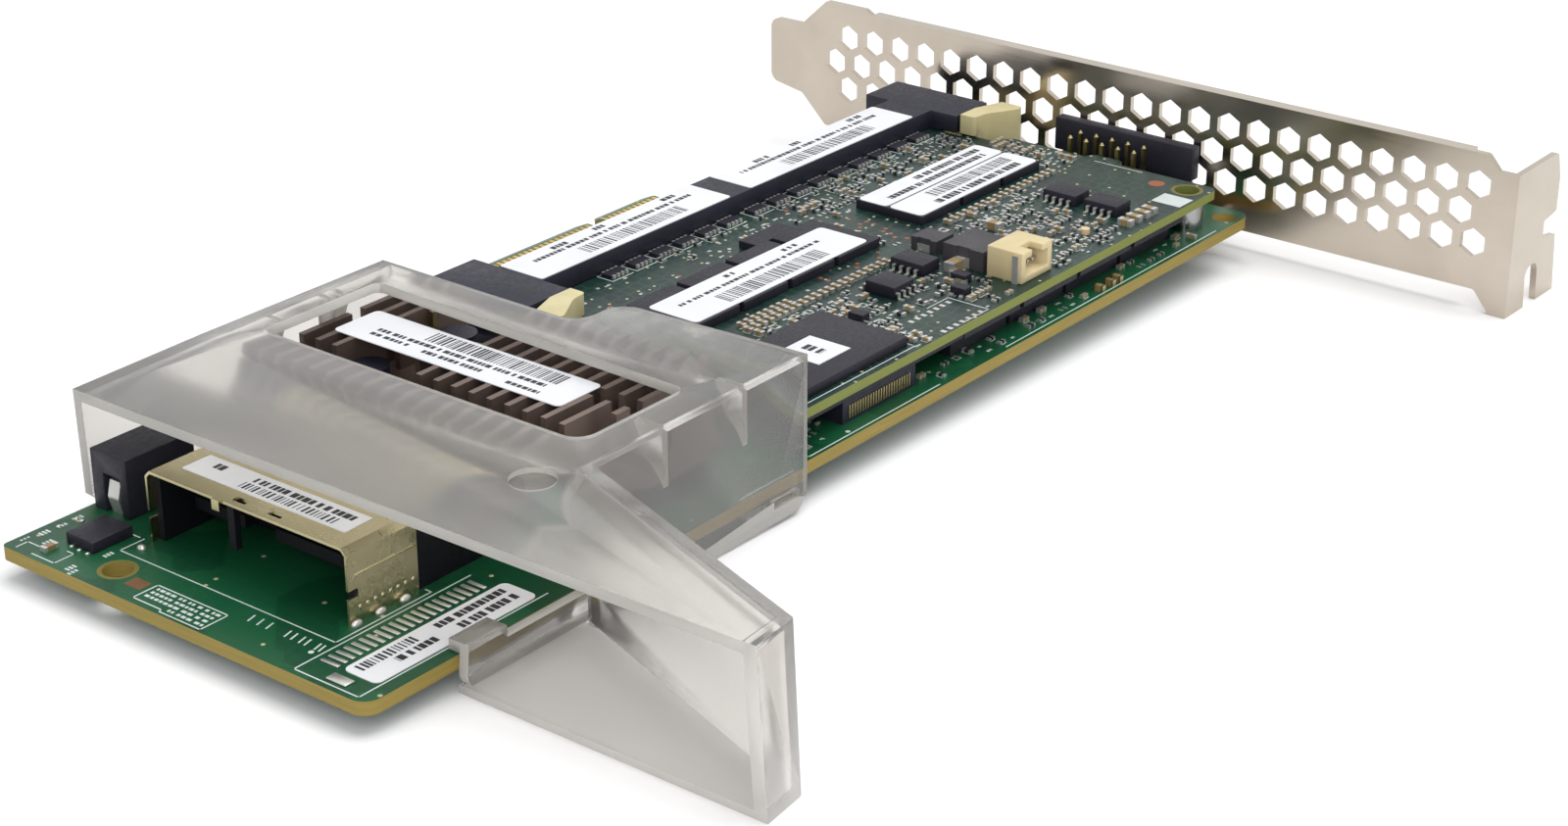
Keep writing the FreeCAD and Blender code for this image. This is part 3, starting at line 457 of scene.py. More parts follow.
@dataclass(frozen=True)
class Laminate(Finish):
    """Glass laminate board: green solder mask on the faces, bare laminate on the edges."""

    name: str
    mask: Colour
    pour: Colour
    copper_run: Colour
    edge: Colour
    edge_shade: Colour
    via: Colour = srgb(176, 172, 140)
    vias: float = 620.0
    rarity: float = 0.97
    trace: float = 0.35
    patches: float = 80.0
    gloss: Span = (0.28, 0.42)
    edge_roughness: float = 0.62
    layers: Place = (0.2, 0.2, 6.0)
    relief: float = 0.03
    shine: float = 0.35
    pour_band: Span = (0.45, 0.5)

    def surface(self, graph: Graph) -> dict[str, object]:
        """Split faces from edges by the normal, then paint each.

        Args:
            graph: The material's graph.

        Returns:
            What feeds the shader's inputs.
        """
        vector = self.place(graph)
        split = graph.node("SeparateXYZ", {"Vector": graph.node("TexCoord").outputs["Normal"]})
        facing = graph.math("GREATER_THAN", graph.math("ABSOLUTE", split.outputs["Z"]), 0.5)
        art = self.group(graph, Groups.circuitry(), vector, Vias=self.vias, Rarity=self.rarity)
        patch = self.group(graph, Groups.smudge(), vector, Scale=self.patches)["Shade"]
        ground = graph.mix(graph.band(art["Pour"], *self.pour_band), self.mask, self.pour)
        runs = graph.math("MULTIPLY", art["Run"], graph.band(patch, 0.0, 1.0, 0.0, self.trace))
        painted = graph.mix(art["Via"], graph.mix(runs, ground, self.copper_run), self.via)
        layers = self.group(graph, Groups.grain(), self.place(graph, self.layers),
                            Scale=700.0, Depth=0.4)
        bare = graph.mix(layers["Shade"], self.edge_shade, self.edge)
        rough = graph.math("SUBTRACT", self.edge_roughness, facing)
        bump = graph.node("Bump", {"Distance": self.relief * MM, "Strength": 0.5,
                                   "Height": graph.math("ADD", runs, art["Via"])})
        return {
            "Base Color": graph.mix(facing, bare, painted),
            "Roughness": graph.math("MAXIMUM", graph.band(patch, 0.0, 1.0, *self.gloss), rough),
            "Normal": bump.outputs["Normal"],
            "Specular IOR Level": self.shine,
        }


@dataclass(frozen=True)
class Smoked(Finish):
    """Smoky frosted clear moulding."""

    name: str
    colour: Colour
    shade: Colour
    roughness: float = 0.32
    clearness: float = 0.8
    patches: float = 30.0
    index: float = 1.4

    def surface(self, graph: Graph) -> dict[str, object]:
        """Let light through a satin, slightly uneven grey.

        Args:
            graph: The material's graph.

        Returns:
            What feeds the shader's inputs.
        """
        patch = self.group(graph, Groups.smudge(), self.place(graph), Scale=self.patches)["Shade"]
        return {
            "Base Color": graph.mix(patch, self.shade, self.colour),
            "Roughness": graph.band(patch, 0.3, 0.7, self.roughness - 0.02, self.roughness + 0.03),
            "Transmission Weight": self.clearness,
            "IOR": self.index,
        }


BRACKET_STEEL = Rolled("bracket_satin_steel", srgb(200, 190, 176), srgb(180, 170, 156),
                       roughness=0.2, lines=(1.0, 0.05, 1.0), scale=1400.0)
SCREW_STEEL = Rolled("screw_zinc", srgb(196, 196, 194), srgb(168, 168, 168), 0.25)
CAGE_METAL = Rolled("port_cage_nickel", srgb(208, 198, 160), srgb(184, 174, 138),
                    roughness=0.24, lines=(1.0, 0.1, 1.0), depth=0.02)
SPRING_STEEL = Rolled("spring_wire", srgb(190, 190, 192), srgb(150, 150, 150), 0.22)
TIN = Rolled("tinned_copper", srgb(214, 214, 210), srgb(180, 180, 176), 0.3, metal=0.7)
GOLD = Rolled("gold_plate", srgb(226, 190, 104), srgb(196, 158, 78), 0.22)
PIN_METAL = Rolled("dull_plated_pins", srgb(176, 164, 122), srgb(144, 132, 94), 0.34)
FIN_METAL = Rolled("bronze_fins", srgb(120, 104, 96), srgb(84, 70, 66), 0.42,
                   lines=(0.06, 1.0, 1.0), scale=1600.0, depth=0.4, metal=0.45)
BLACK_PLASTIC = Moulded("socket_black_plastic", srgb(36, 37, 50), srgb(28, 28, 40), 0.5,
                        shine=0.3)
PORT_PLASTIC = Moulded("port_black_plastic", srgb(18, 18, 24), srgb(13, 13, 18), 0.55,
                       shine=0.2)
SIDE_PLASTIC = Moulded("side_connector_plastic", srgb(40, 40, 50), srgb(30, 30, 40), 0.5,
                       shine=0.3)
CHIP_BLACK = Moulded("chip_compound", srgb(34, 33, 44), srgb(26, 25, 35), 0.52, 2600.0,
                     shine=0.3)
LATCH_CREAM = Moulded("latch_cream_plastic", srgb(206, 196, 152), srgb(190, 178, 132), 0.45,
                      900.0, 0.25)
SOCKET_CREAM = Moulded("cable_socket_cream", srgb(214, 198, 158), srgb(200, 182, 138), 0.45,
                       900.0, 0.25)
COIL_GREY = Moulded("pressed_coil", srgb(72, 70, 74), srgb(54, 52, 56), 0.55, 2400.0, 0.8,
                    shine=0.3)
CERAMIC_TAN = Moulded("capacitor_tan", srgb(158, 136, 96), srgb(126, 104, 68), 0.45)
CERAMIC_DARK = Moulded("resistor_dark", srgb(44, 46, 52), srgb(28, 30, 36), 0.5, shine=0.3)
CERAMIC_PALE = Moulded("capacitor_pale", srgb(222, 200, 160), srgb(200, 174, 132), 0.45)
LABEL_FILM = Moulded("label_film", srgb(226, 227, 230), srgb(217, 219, 223), 0.42, 1200.0, 0.2,
                     shine=0.3)
LABEL_INK = Moulded("label_black_ink", srgb(48, 48, 54), srgb(32, 32, 38), 0.5, shine=0.3)
SILK_INK = Moulded("board_white_ink", srgb(206, 214, 212), srgb(184, 192, 190), 0.55)
COPPER = Moulded("bare_copper", srgb(150, 82, 44), srgb(126, 66, 34), 0.35)
COPPER_UNDER = Moulded("copper_under_mask", srgb(116, 78, 44), srgb(96, 66, 38), 0.35)
BARE_LAMINATE = Moulded("bare_laminate", srgb(112, 106, 42), srgb(94, 88, 34), 0.55)
BOARD_GREEN = Laminate("controller_board", srgb(14, 68, 42), srgb(20, 80, 50),
                       srgb(40, 98, 62), srgb(160, 140, 68), srgb(122, 106, 48), trace=0.25)
MODULE_GREEN = Laminate("module_board", srgb(12, 35, 33), srgb(16, 44, 38),
                        srgb(72, 94, 88), srgb(132, 138, 68), srgb(104, 114, 52),
                        vias=760.0, rarity=0.8, trace=0.45)
DUCT_CLEAR = Smoked("duct_smoked_clear", srgb(235, 232, 227), srgb(226, 223, 219),
                    roughness=0.16, clearness=0.94)
DUCT_EDGE = Smoked("duct_bright_edge", srgb(212, 209, 203), srgb(202, 199, 193),
                   roughness=0.3, clearness=0.45)


class Bench:
    """A mesh being made, worked in the card's own millimetres."""

    def __init__(self) -> None:
        """Start with an empty mesh."""
        self.work = bmesh.new()

    @staticmethod
    def edges_of(verts: Iterable[bmesh.types.BMVert]) -> set[bmesh.types.BMEdge]:
        """Return every edge that meets some vertices."""
        return {edge for vert in verts for edge in vert.link_edges}

    @staticmethod
    def faces_of(verts: Iterable[bmesh.types.BMVert]) -> set[bmesh.types.BMFace]:
        """Return every face that meets some vertices."""
        return {face for vert in verts for face in vert.link_faces}

    def _painted(self, verts: list[bmesh.types.BMVert], slot: int) -> list[bmesh.types.BMVert]:
        """Give a material slot to what was just made.

        Args:
            verts: Its vertices.
            slot: The material slot of its faces.

        Returns:
            The same vertices.
        """
        for face in self.faces_of(verts):
            face.material_index = slot
        return verts

    def _cube(self, middle: Vector, turn: Matrix, size: Place,
              slot: int) -> list[bmesh.types.BMVert]:
        """Add a box.

        Args:
            middle: Its middle, in metres.
            turn: Its rotation.
            size: Its sides in millimetres.
            slot: The material slot of its faces.

        Returns:
            Its vertices.
        """
        stretch = Matrix.Diagonal((size[0] * MM, size[1] * MM, size[2] * MM, 1.0))
        matrix = Matrix.Translation(middle) @ turn @ stretch
        made = bmesh.ops.create_cube(self.work, size=1.0, matrix=matrix)
        return self._painted(made["verts"], slot)

    def block(self, x: Span, y: Span, z: Span, slot: int = 0) -> list[bmesh.types.BMVert]:
        """Add a box between its lowest and highest x, y and z.

        Args:
            x: Its lowest and highest x.
            y: Its lowest and highest y.
            z: Its lowest and highest z.
            slot: The material slot of its faces.

        Returns:
            Its vertices.
        """
        middle = DATUM.at(*((span[0] + span[1]) / 2 for span in (x, y, z)))
        size = (x[1] - x[0], y[1] - y[0], z[1] - z[0])
        return self._cube(middle, Matrix.Identity(4), size, slot)

    def line(self, start: Span, end: Span, width: float, z: Span, slot: int = 0) -> None:
        """Add a flat bar between two places in plan.

        Args:
            start: Its first x and y.
            end: Its last x and y.
            width: Its width.
            z: Its lowest and highest z.
            slot: The material slot of its faces.
        """
        run = Vector((end[0] - start[0], end[1] - start[1]))
        middle = DATUM.at(*((low + high) / 2 for low, high in (*zip(start, end), z)))
        turn = Matrix.Rotation(math.atan2(run.y, run.x), 4, "Z")
        self._cube(middle, turn, (run.length + width, width, z[1] - z[0]), slot)

    def rod(self, centre: Span, z: Span, radius: float, sides: int = 16, slot: int = 0,
            top: float = 1.0) -> list[bmesh.types.BMVert]:
        """Add an upright cylinder or cone.

        Args:
            centre: Its x and y.
            z: Its lowest and highest z.
            radius: Its radius at the bottom.
            sides: How many sides it has.
            slot: The material slot of its faces.
            top: The share of the radius that it keeps at the top.

        Returns:
            Its vertices.
        """
        middle = DATUM.at(*centre, (z[0] + z[1]) / 2)
        made = bmesh.ops.create_cone(self.work, cap_ends=True, segments=sides,
                                     radius1=radius * MM, radius2=radius * top * MM,
                                     depth=(z[1] - z[0]) * MM,
                                     matrix=Matrix.Translation(middle))
        return self._painted(made["verts"], slot)

    def ring(self, centre: Span, z: Span, inner: float, outer: float, slot: int = 0,
             sides: int = 40) -> None:
        """Add a flat washer.

        Args:
            centre: Its x and y.
            z: Its lowest and highest z.
            inner: The radius of its hole.
            outer: Its outer radius.
            slot: The material slot of its faces.
            sides: How many sides it has.
        """
        place = Matrix.Translation(DATUM.at(*centre, z[0]))
        edges = []
        for radius in (inner, outer):
            made = bmesh.ops.create_circle(self.work, segments=sides, radius=radius * MM,
                                           matrix=place)
            edges += list(self.edges_of(made["verts"]))
        flat = bmesh.ops.bridge_loops(self.work, edges=edges)["faces"]
        raised = bmesh.ops.extrude_face_region(self.work, geom=flat)
        verts = [item for item in raised["geom"] if isinstance(item, bmesh.types.BMVert)]
        bmesh.ops.translate(self.work, verts=verts, vec=(0.0, 0.0, (z[1] - z[0]) * MM))
        whole = self.faces_of(verts) | set(flat)
        bmesh.ops.recalc_face_normals(self.work, faces=list(whole))
        for face in whole:
            face.material_index = slot

    def bead(self, centre: Place, size: Place, slot: int = 0) -> None:
        """Add a small rounded bead, as of solder.

        Args:
            centre: Its middle.
            size: Its half sizes along x, y and z.
            slot: The material slot of its faces.
        """
        stretch = Matrix.Diagonal((size[0] * MM, size[1] * MM, size[2] * MM, 1.0))
        matrix = Matrix.Translation(DATUM.at(*centre)) @ stretch
        made = bmesh.ops.create_icosphere(self.work, subdivisions=2, radius=1.0, matrix=matrix)
        self._painted(made["verts"], slot)

    def bevel(self, edges: list[bmesh.types.BMEdge], radius: float,
              segments: int) -> list[bmesh.types.BMFace]:
        """Bevel some edges.

        Args:
            edges: The edges.
            radius: The bevel's width in millimetres.
            segments: How many strips the bevel has.

        Returns:
            The bevel's faces.
        """
        made = bmesh.ops.bevel(self.work, geom=edges, offset=radius * MM, offset_type="OFFSET",
                               segments=segments, profile=0.5, affect="EDGES",
                               clamp_overlap=True, material=-1)
        return made["faces"]

    def rounded(self, x: Span, y: Span, z: Span, radius: float, slot: int = 0) -> None:
        """Add a box with every edge rounded.

        Args:
            x: Its lowest and highest x.
            y: Its lowest and highest y.
            z: Its lowest and highest z.
            radius: The width of its rounded edges.
            slot: The material slot of its faces.
        """
        edges = list(self.edges_of(self.block(x, y, z, slot)))
        self.bevel(edges, radius, segments=2)

    def keep(self, name: str, finishes: Sequence[Finish], slot: str, body: str = CARD,
             replaces: Sequence[str] = (), smooth: float = 0.0) -> None:
        """Turn the finished mesh into a piece that rides on a body.

        Args:
            name: The piece's name.
            finishes: One finish for each material slot of the mesh.
            slot: The record's material slot; not used.
            body: The body that carries it.
            replaces: The solids that it stands for.
            smooth: Angle in degrees under which faces are shaded smooth, or 0 for flat.
        """
        mesh = bpy.data.meshes.new(name)
        self.work.to_mesh(mesh)
        self.work.free()
        piece = bpy.data.objects.new(name, mesh)
        bpy.context.scene.collection.objects.link(piece)
        for finish in finishes:
            mesh.materials.append(finish.material())
        if smooth:
            mesh.shade_smooth()
            mesh.set_sharp_from_angle(angle=math.radians(smooth))
        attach(piece, body)
        if replaces:
            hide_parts(*replaces)
        LOG.info("%s: %d faces", name, len(mesh.polygons))


class Edges(Enum):
    """Which edges of a copied solid are rounded."""

    ALL = 0
    UPRIGHT = 1


@dataclass
class Softened:
    """A copy of a solid with its sharp edges rounded, as moulding leaves them."""

    node: str
    finish: Finish
    slot: str
    radius: float
    body: str = CARD
    segments: int = 2
    edges: Edges = Edges.ALL
    rim: Finish | None = None
    thin: float = 1.6
    sharp_degrees: float = 32.0
    flat_degrees: float = 1.0
    smooth_degrees: float = 40.0
    merge: float = 0.002

    def _chosen(self, edge: bmesh.types.BMEdge) -> bool:
        """Judge whether an edge is one to round.

        Args:
            edge: The edge.

        Returns:
            Whether it is sharp, and upright where only those are rounded.
        """
        if not edge.is_manifold or edge.calc_face_angle(0.0) <= math.radians(self.sharp_degrees):
            return False
        first, last = (vert.co for vert in edge.verts)
        return self.edges is Edges.ALL or (first.xy - last.xy).length < UPRIGHT_DRIFT

    def build(self) -> None:
        """Merge, clean and bevel the copy, and put it in the solid's place."""
        bench = Bench()
        work = bench.work
        work.from_mesh(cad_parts[self.node].data)
        bmesh.ops.remove_doubles(work, verts=work.verts, dist=self.merge * MM)
        bmesh.ops.dissolve_limit(work, angle_limit=math.radians(self.flat_degrees),
                                 verts=work.verts, edges=work.edges)
        chosen = [edge for edge in work.edges if self._chosen(edge)]
        strips = bench.bevel(chosen, self.radius, self.segments)
        finishes = [self.finish]
        if self.rim is not None:
            finishes.append(self.rim)
            narrow = [face for face in work.faces
                      if 2.0 * face.calc_area() / face.calc_perimeter() < self.thin * MM]
            for face in (*strips, *narrow):
                face.material_index = 1
        bench.keep(self.node + "_softened", finishes, self.slot, self.body, [self.node],
                   smooth=self.smooth_degrees)


class Side(Enum):
    """Which way a row runs on the card."""

    ALONG_X = 0
    ALONG_Y = 1


@dataclass
class Print:
    """Generic black print on a label: bar blocks and rows of plain dashes.

    The label's own axes are u along its length and v across it, each from 0 to 1.
    """

    name: str
    x: Span
    y: Span
    z: float
    run: Side
    seed: int
    ink: float = 0.012
    flip: bool = False
    bar_widths: Place = (0.14, 0.2, 0.32)
    bar_gaps: Place = (0.5, 0.8, 1.1)
    dash_widths: Span = (0.35, 0.85)
    dash_gaps: tuple[float, ...] = (0.16, 0.16, 0.16, 0.5)

    def __post_init__(self) -> None:
        """Start the mesh and the label's own random draws."""
        self.bench = Bench()
        self.dice = random.Random(self.seed)

    def _mark(self, u: Span, v: Span) -> None:
        """Add one inked rectangle.

        Args:
            u: Where it starts and ends along the label, in shares of its length.
            v: Where it starts and ends across it, in shares of its width.
        """
        if self.flip:
            u = (1.0 - u[1], 1.0 - u[0])
            v = (1.0 - v[1], 1.0 - v[0])
        across, along = (v, u) if self.run is Side.ALONG_Y else (u, v)
        width = self.x[1] - self.x[0]
        depth = self.y[1] - self.y[0]
        self.bench.block((self.x[0] + across[0] * width, self.x[0] + across[1] * width),
                         (self.y[0] + along[0] * depth, self.y[0] + along[1] * depth),
                         (self.z, self.z + self.ink))

    def _row(self, u: Span, v: Span, width: Callable[[], float],
             gap: Callable[[], float]) -> "Print":
        """Add marks side by side.

        Args:
            u: Where the row starts and ends.
            v: How far the marks reach across the label.
            width: Draws the width of the next mark, in millimetres.
            gap: Draws the gap after it, in millimetres.

        Returns:
            This print, so that rows can be chained.
        """
        span = self.y if self.run is Side.ALONG_Y else self.x
        length = span[1] - span[0]
        here = u[0]
        while here < u[1]:
            share = width() / length
            self._mark((here, min(here + share, u[1])), v)
            here += share + gap() / length
        return self

    def bars(self, u: Span, v: Span, pitch: float = 0.42) -> "Print":
        """Add a block of upright bars of uneven width.

        Args:
            u: Where it starts and ends.
            v: How far the bars reach across the label.
            pitch: The scale of the gaps between bars, in millimetres.

        Returns:
            This print.
        """
        return self._row(u, v, lambda: self.dice.choice(self.bar_widths),
                         lambda: self.dice.choice(self.bar_gaps) * pitch)

    def dashes(self, u: Span, v: Span) -> "Print":
        """Add one row of short dashes, where the real label has a line of print.

        Args:
            u: Where it starts and ends.
            v: How far the dashes reach across the label.

        Returns:
            This print.
        """
        return self._row(u, v, lambda: self.dice.uniform(*self.dash_widths),
                         lambda: self.dice.choice(self.dash_gaps))

    def build(self) -> None:
        """Keep the print as one piece."""
        self.bench.keep(self.name, [LABEL_INK], "label_white")


@dataclass(frozen=True)
class Labels:
    """The print on every label."""

    film: float = 0.1
    fin_top: float = 11.0
    port_top: float = 8.35
    socket_top: float = 7.7
    chip_top: float = 6.2
    socket_length: float = 35.95
    socket_starts: Span = (16.5, 56.45)
    socket_seed: int = 14

    def build(self) -> None:
        """Print each label in turn."""
        along_x, along_y = Side.ALONG_X, Side.ALONG_Y
        heatsink = Print("heatsink_label_print", (116.9, 124.0), (-48.6, -14.6),
                         self.fin_top + self.film, along_y, 11)
        heatsink.bars((0.3, 0.88), (0.08, 0.42), 0.3).dashes((0.12, 0.86), (0.5, 0.6))
        heatsink.dashes((0.12, 0.3), (0.68, 0.77)).dashes((0.36, 0.62), (0.7, 0.8))
        heatsink.dashes((0.74, 0.88), (0.76, 0.85)).build()
        port = Print("port_label_print", (151.0, 154.9), (-39.0, -15.2),
                     self.port_top + self.film, along_y, 12, flip=True)
        port.bars((0.1, 0.68), (0.12, 0.45)).dashes((0.05, 0.66), (0.55, 0.8))
        port.dashes((0.84, 0.9), (0.5, 0.78)).build()
        board = Print("board_label_print", (141.5, 164.2), (-6.7, -2.0), self.film, along_x, 13)
        board.dashes((0.06, 0.5), (0.14, 0.36)).dashes((0.06, 0.42), (0.5, 0.74))
        board.dashes((0.56, 0.8), (0.5, 0.72)).bars((0.62, 0.96), (0.12, 0.4), 0.3).build()
        for index, start in enumerate(self.socket_starts):
            socket = Print(f"socket_label_print_{index}", (start, start + self.socket_length),
                           (-52.9, -45.9), self.socket_top + self.film, along_x,
                           self.socket_seed + index)
            socket.bars((0.2, 0.72), (0.52, 0.84), 0.36).dashes((0.08, 0.9), (0.3, 0.4))
            socket.dashes((0.12, 0.2), (0.08, 0.2)).dashes((0.5, 0.56), (0.08, 0.2))
            socket.dashes((0.7, 0.78), (0.12, 0.24)).build()
        seat = self.chip_top + self.film
        long = Print("module_long_label_print", (55.0, 88.7), (-32.6, -25.0), seat, along_x, 16)
        long.bars((0.2, 0.78), (0.54, 0.88), 0.36).dashes((0.12, 0.92), (0.32, 0.4))
        long.dashes((0.2, 0.28), (0.12, 0.22)).dashes((0.56, 0.62), (0.1, 0.2)).build()
        upper = Print("module_upper_label_print", (17.2, 43.9), (-35.0, -30.4), seat, along_x, 17)
        upper.dashes((0.06, 0.6), (0.2, 0.42)).dashes((0.1, 0.9), (0.58, 0.8)).build()
        lower = Print("module_lower_label_print", (17.2, 43.9), (-30.1, -24.8), seat, along_x, 18)
        lower.bars((0.08, 0.74), (0.12, 0.5), 0.34).dashes((0.1, 0.8), (0.62, 0.84)).build()
        sticker = Print("sticker_print", (83.5, 89.5), (-12.3, -6.4), seat, along_y, 19)
        sticker.dashes((0.24, 0.7), (0.36, 0.6)).build()


@dataclass(frozen=True)
class BoardPrint:
    """White print, bare copper and solder on the controller board round the port."""

    ink: Span = (0.0, 0.015)
    stroke: float = 0.17
    dot_radius: float = 0.3
    hole: Span = (163.8, -39.7)
    hole_ring: Span = (1.66, 2.15)
    seed: int = 31
    outlines: tuple[tuple[Span, ...], ...] = (
        ((157.6, -42.9), (160.8, -42.9), (160.8, -11.1), (147.5, -11.1), (147.5, -11.9)),
        ((142.5, -10.5), (166.9, -10.5), (166.9, -1.7), (140.5, -1.7)),
        ((163.5, -33.9), (163.5, -23.5), (167.2, -23.5), (167.2, -29.6), (166.8, -29.6),
         (166.8, -33.9), (163.5, -33.9)),
        ((166.9, -49.5), (166.9, -46.0), (164.3, -46.0), (164.3, -47.0)),
        ((157.6, -43.6), (157.6, -49.0), (156.6, -49.0)),
        ((166.9, -52.0), (165.4, -52.0), (165.4, -49.9)),
        ((102.5, -0.55), (112.0, -0.55)), ((74.0, -0.5), (99.0, -0.5), (99.0, -1.9)),
        ((11.0, -0.6), (60.0, -0.6)),
    )
    dots: tuple[Span, ...] = ((163.6, -11.6), (91.0, -1.1))
    text_rows: tuple[Span, ...] = ((164.1, -33.3), (164.9, -33.3), (165.7, -33.3),
                                   (166.5, -29.0))
    text_end: float = -24.2
    ticks: tuple[float, ...] = (-21.4, -20.1, -18.8, -16.2, -15.3, -14.2, -13.4, -12.0, -11.4)
    words: tuple[Place, ...] = ((158.0, -52.6, 1.4), (160.2, -52.4, 1.0), (162.4, -52.7, 1.6),
                                (164.6, -52.9, 0.5), (163.6, -50.6, 1.2), (165.9, -44.2, 1.4),
                                (161.6, -43.4, 1.2), (166.4, -43.2, 1.0))
    small_joints: tuple[Span, ...] = ((158.9, -52.1), (158.8, -51.3), (161.2, -52.2),
                                      (163.3, -47.5), (163.4, -46.2), (163.4, -44.9),
                                      (157.6, -47.6), (157.6, -46.0))
    cage_joints: Place = (157.0, 153.7, 150.3)
    comb_x: Span = (143.4, 164.0)
    comb_y: Span = (-9.7, -7.3)
    comb_pitch: float = 1.02
    pad_half: float = 0.24

    def build(self) -> None:
        """Print the lines, then lay the metal."""
        self._lines()
        self._metal()
        self._comb()

    def _lines(self) -> None:
        """Draw the outlines and rows of plain strokes in white ink."""
        bench = Bench()
        for corners in self.outlines:
            for start, end in zip(corners, corners[1:]):
                bench.line(start, end, self.stroke, self.ink)
        for dot in self.dots:
            bench.rod(dot, self.ink, self.dot_radius)
        dice = random.Random(self.seed)
        for x, y in self.text_rows:
            while y < self.text_end:
                length = dice.uniform(0.3, 0.7)
                bench.block(around(x, 0.2), (y, y + length), self.ink)
                y += length + dice.choice((0.2, 0.2, 0.5))
        for y in self.ticks:
            bench.line((161.9, y), (163.0, y + 0.25), 0.2, self.ink)
        for x, y, length in self.words:
            for step in range(3):
                start = x + step * 0.45
                bench.block((start, start + 0.28), (y, y + length * 0.5), self.ink)
        bench.keep("board_white_print", [SILK_INK], "label_white")

    def _metal(self) -> None:
        """Lay solder, bare copper and the ring round the hole."""
        bench = Bench()
        tan, laminate, copper = 1, 2, 3
        bench.ring(self.hole, (0.0, 0.02), *self.hole_ring, slot=laminate)
        bench.block((163.7, 165.4), (-37.0, -34.6), (0.0, 0.012), copper)
        bench.rounded((165.1, 166.4), (-6.7, -4.0), (0.0, 0.22), 0.15)
        for x, y in self.small_joints:
            bench.bead((x, y, 0.05), (0.32, 0.24, 0.16))
        for x in self.cage_joints:
            bench.bead((x, -12.0, 0.1), (0.75, 0.4, 0.5))
        bench.bead((159.2, -41.4, 0.1), (0.5, 0.6, 0.4))
        bench.block((164.5, 165.7), (-49.3, -48.5), (0.0, 0.5), tan)
        for x in (164.2, 165.6):
            bench.block((x, x + 0.4), (-49.35, -48.45), (0.0, 0.53))
        bench.keep("board_solder", [TIN, CERAMIC_TAN, BARE_LAMINATE, COPPER_UNDER], "tin",
                   smooth=50.0)

    def _comb(self) -> None:
        """Lay the row of long solder-coated pads beside the port."""
        bench = Bench()
        x = self.comb_x[1]
        while x > self.comb_x[0]:
            bench.rounded(around(x, self.pad_half), self.comb_y, (0.0, 0.16), 0.11)
            x -= self.comb_pitch
        bench.keep("pad_comb", [TIN], "tin", smooth=60.0)


class Kind(Enum):
    """What a small soldered place holds, and how high it stands."""

    TAN = 0.55
    DARK = 0.36
    PADS = 0.05


@dataclass(frozen=True)
class Field:
    """A patch of board that is filled with rows of small parts."""

    x: Span
    y: Span
    pitch: Span
    fill: float
    tan: float
    pads: float = 0.2
    seat: float = 5.0


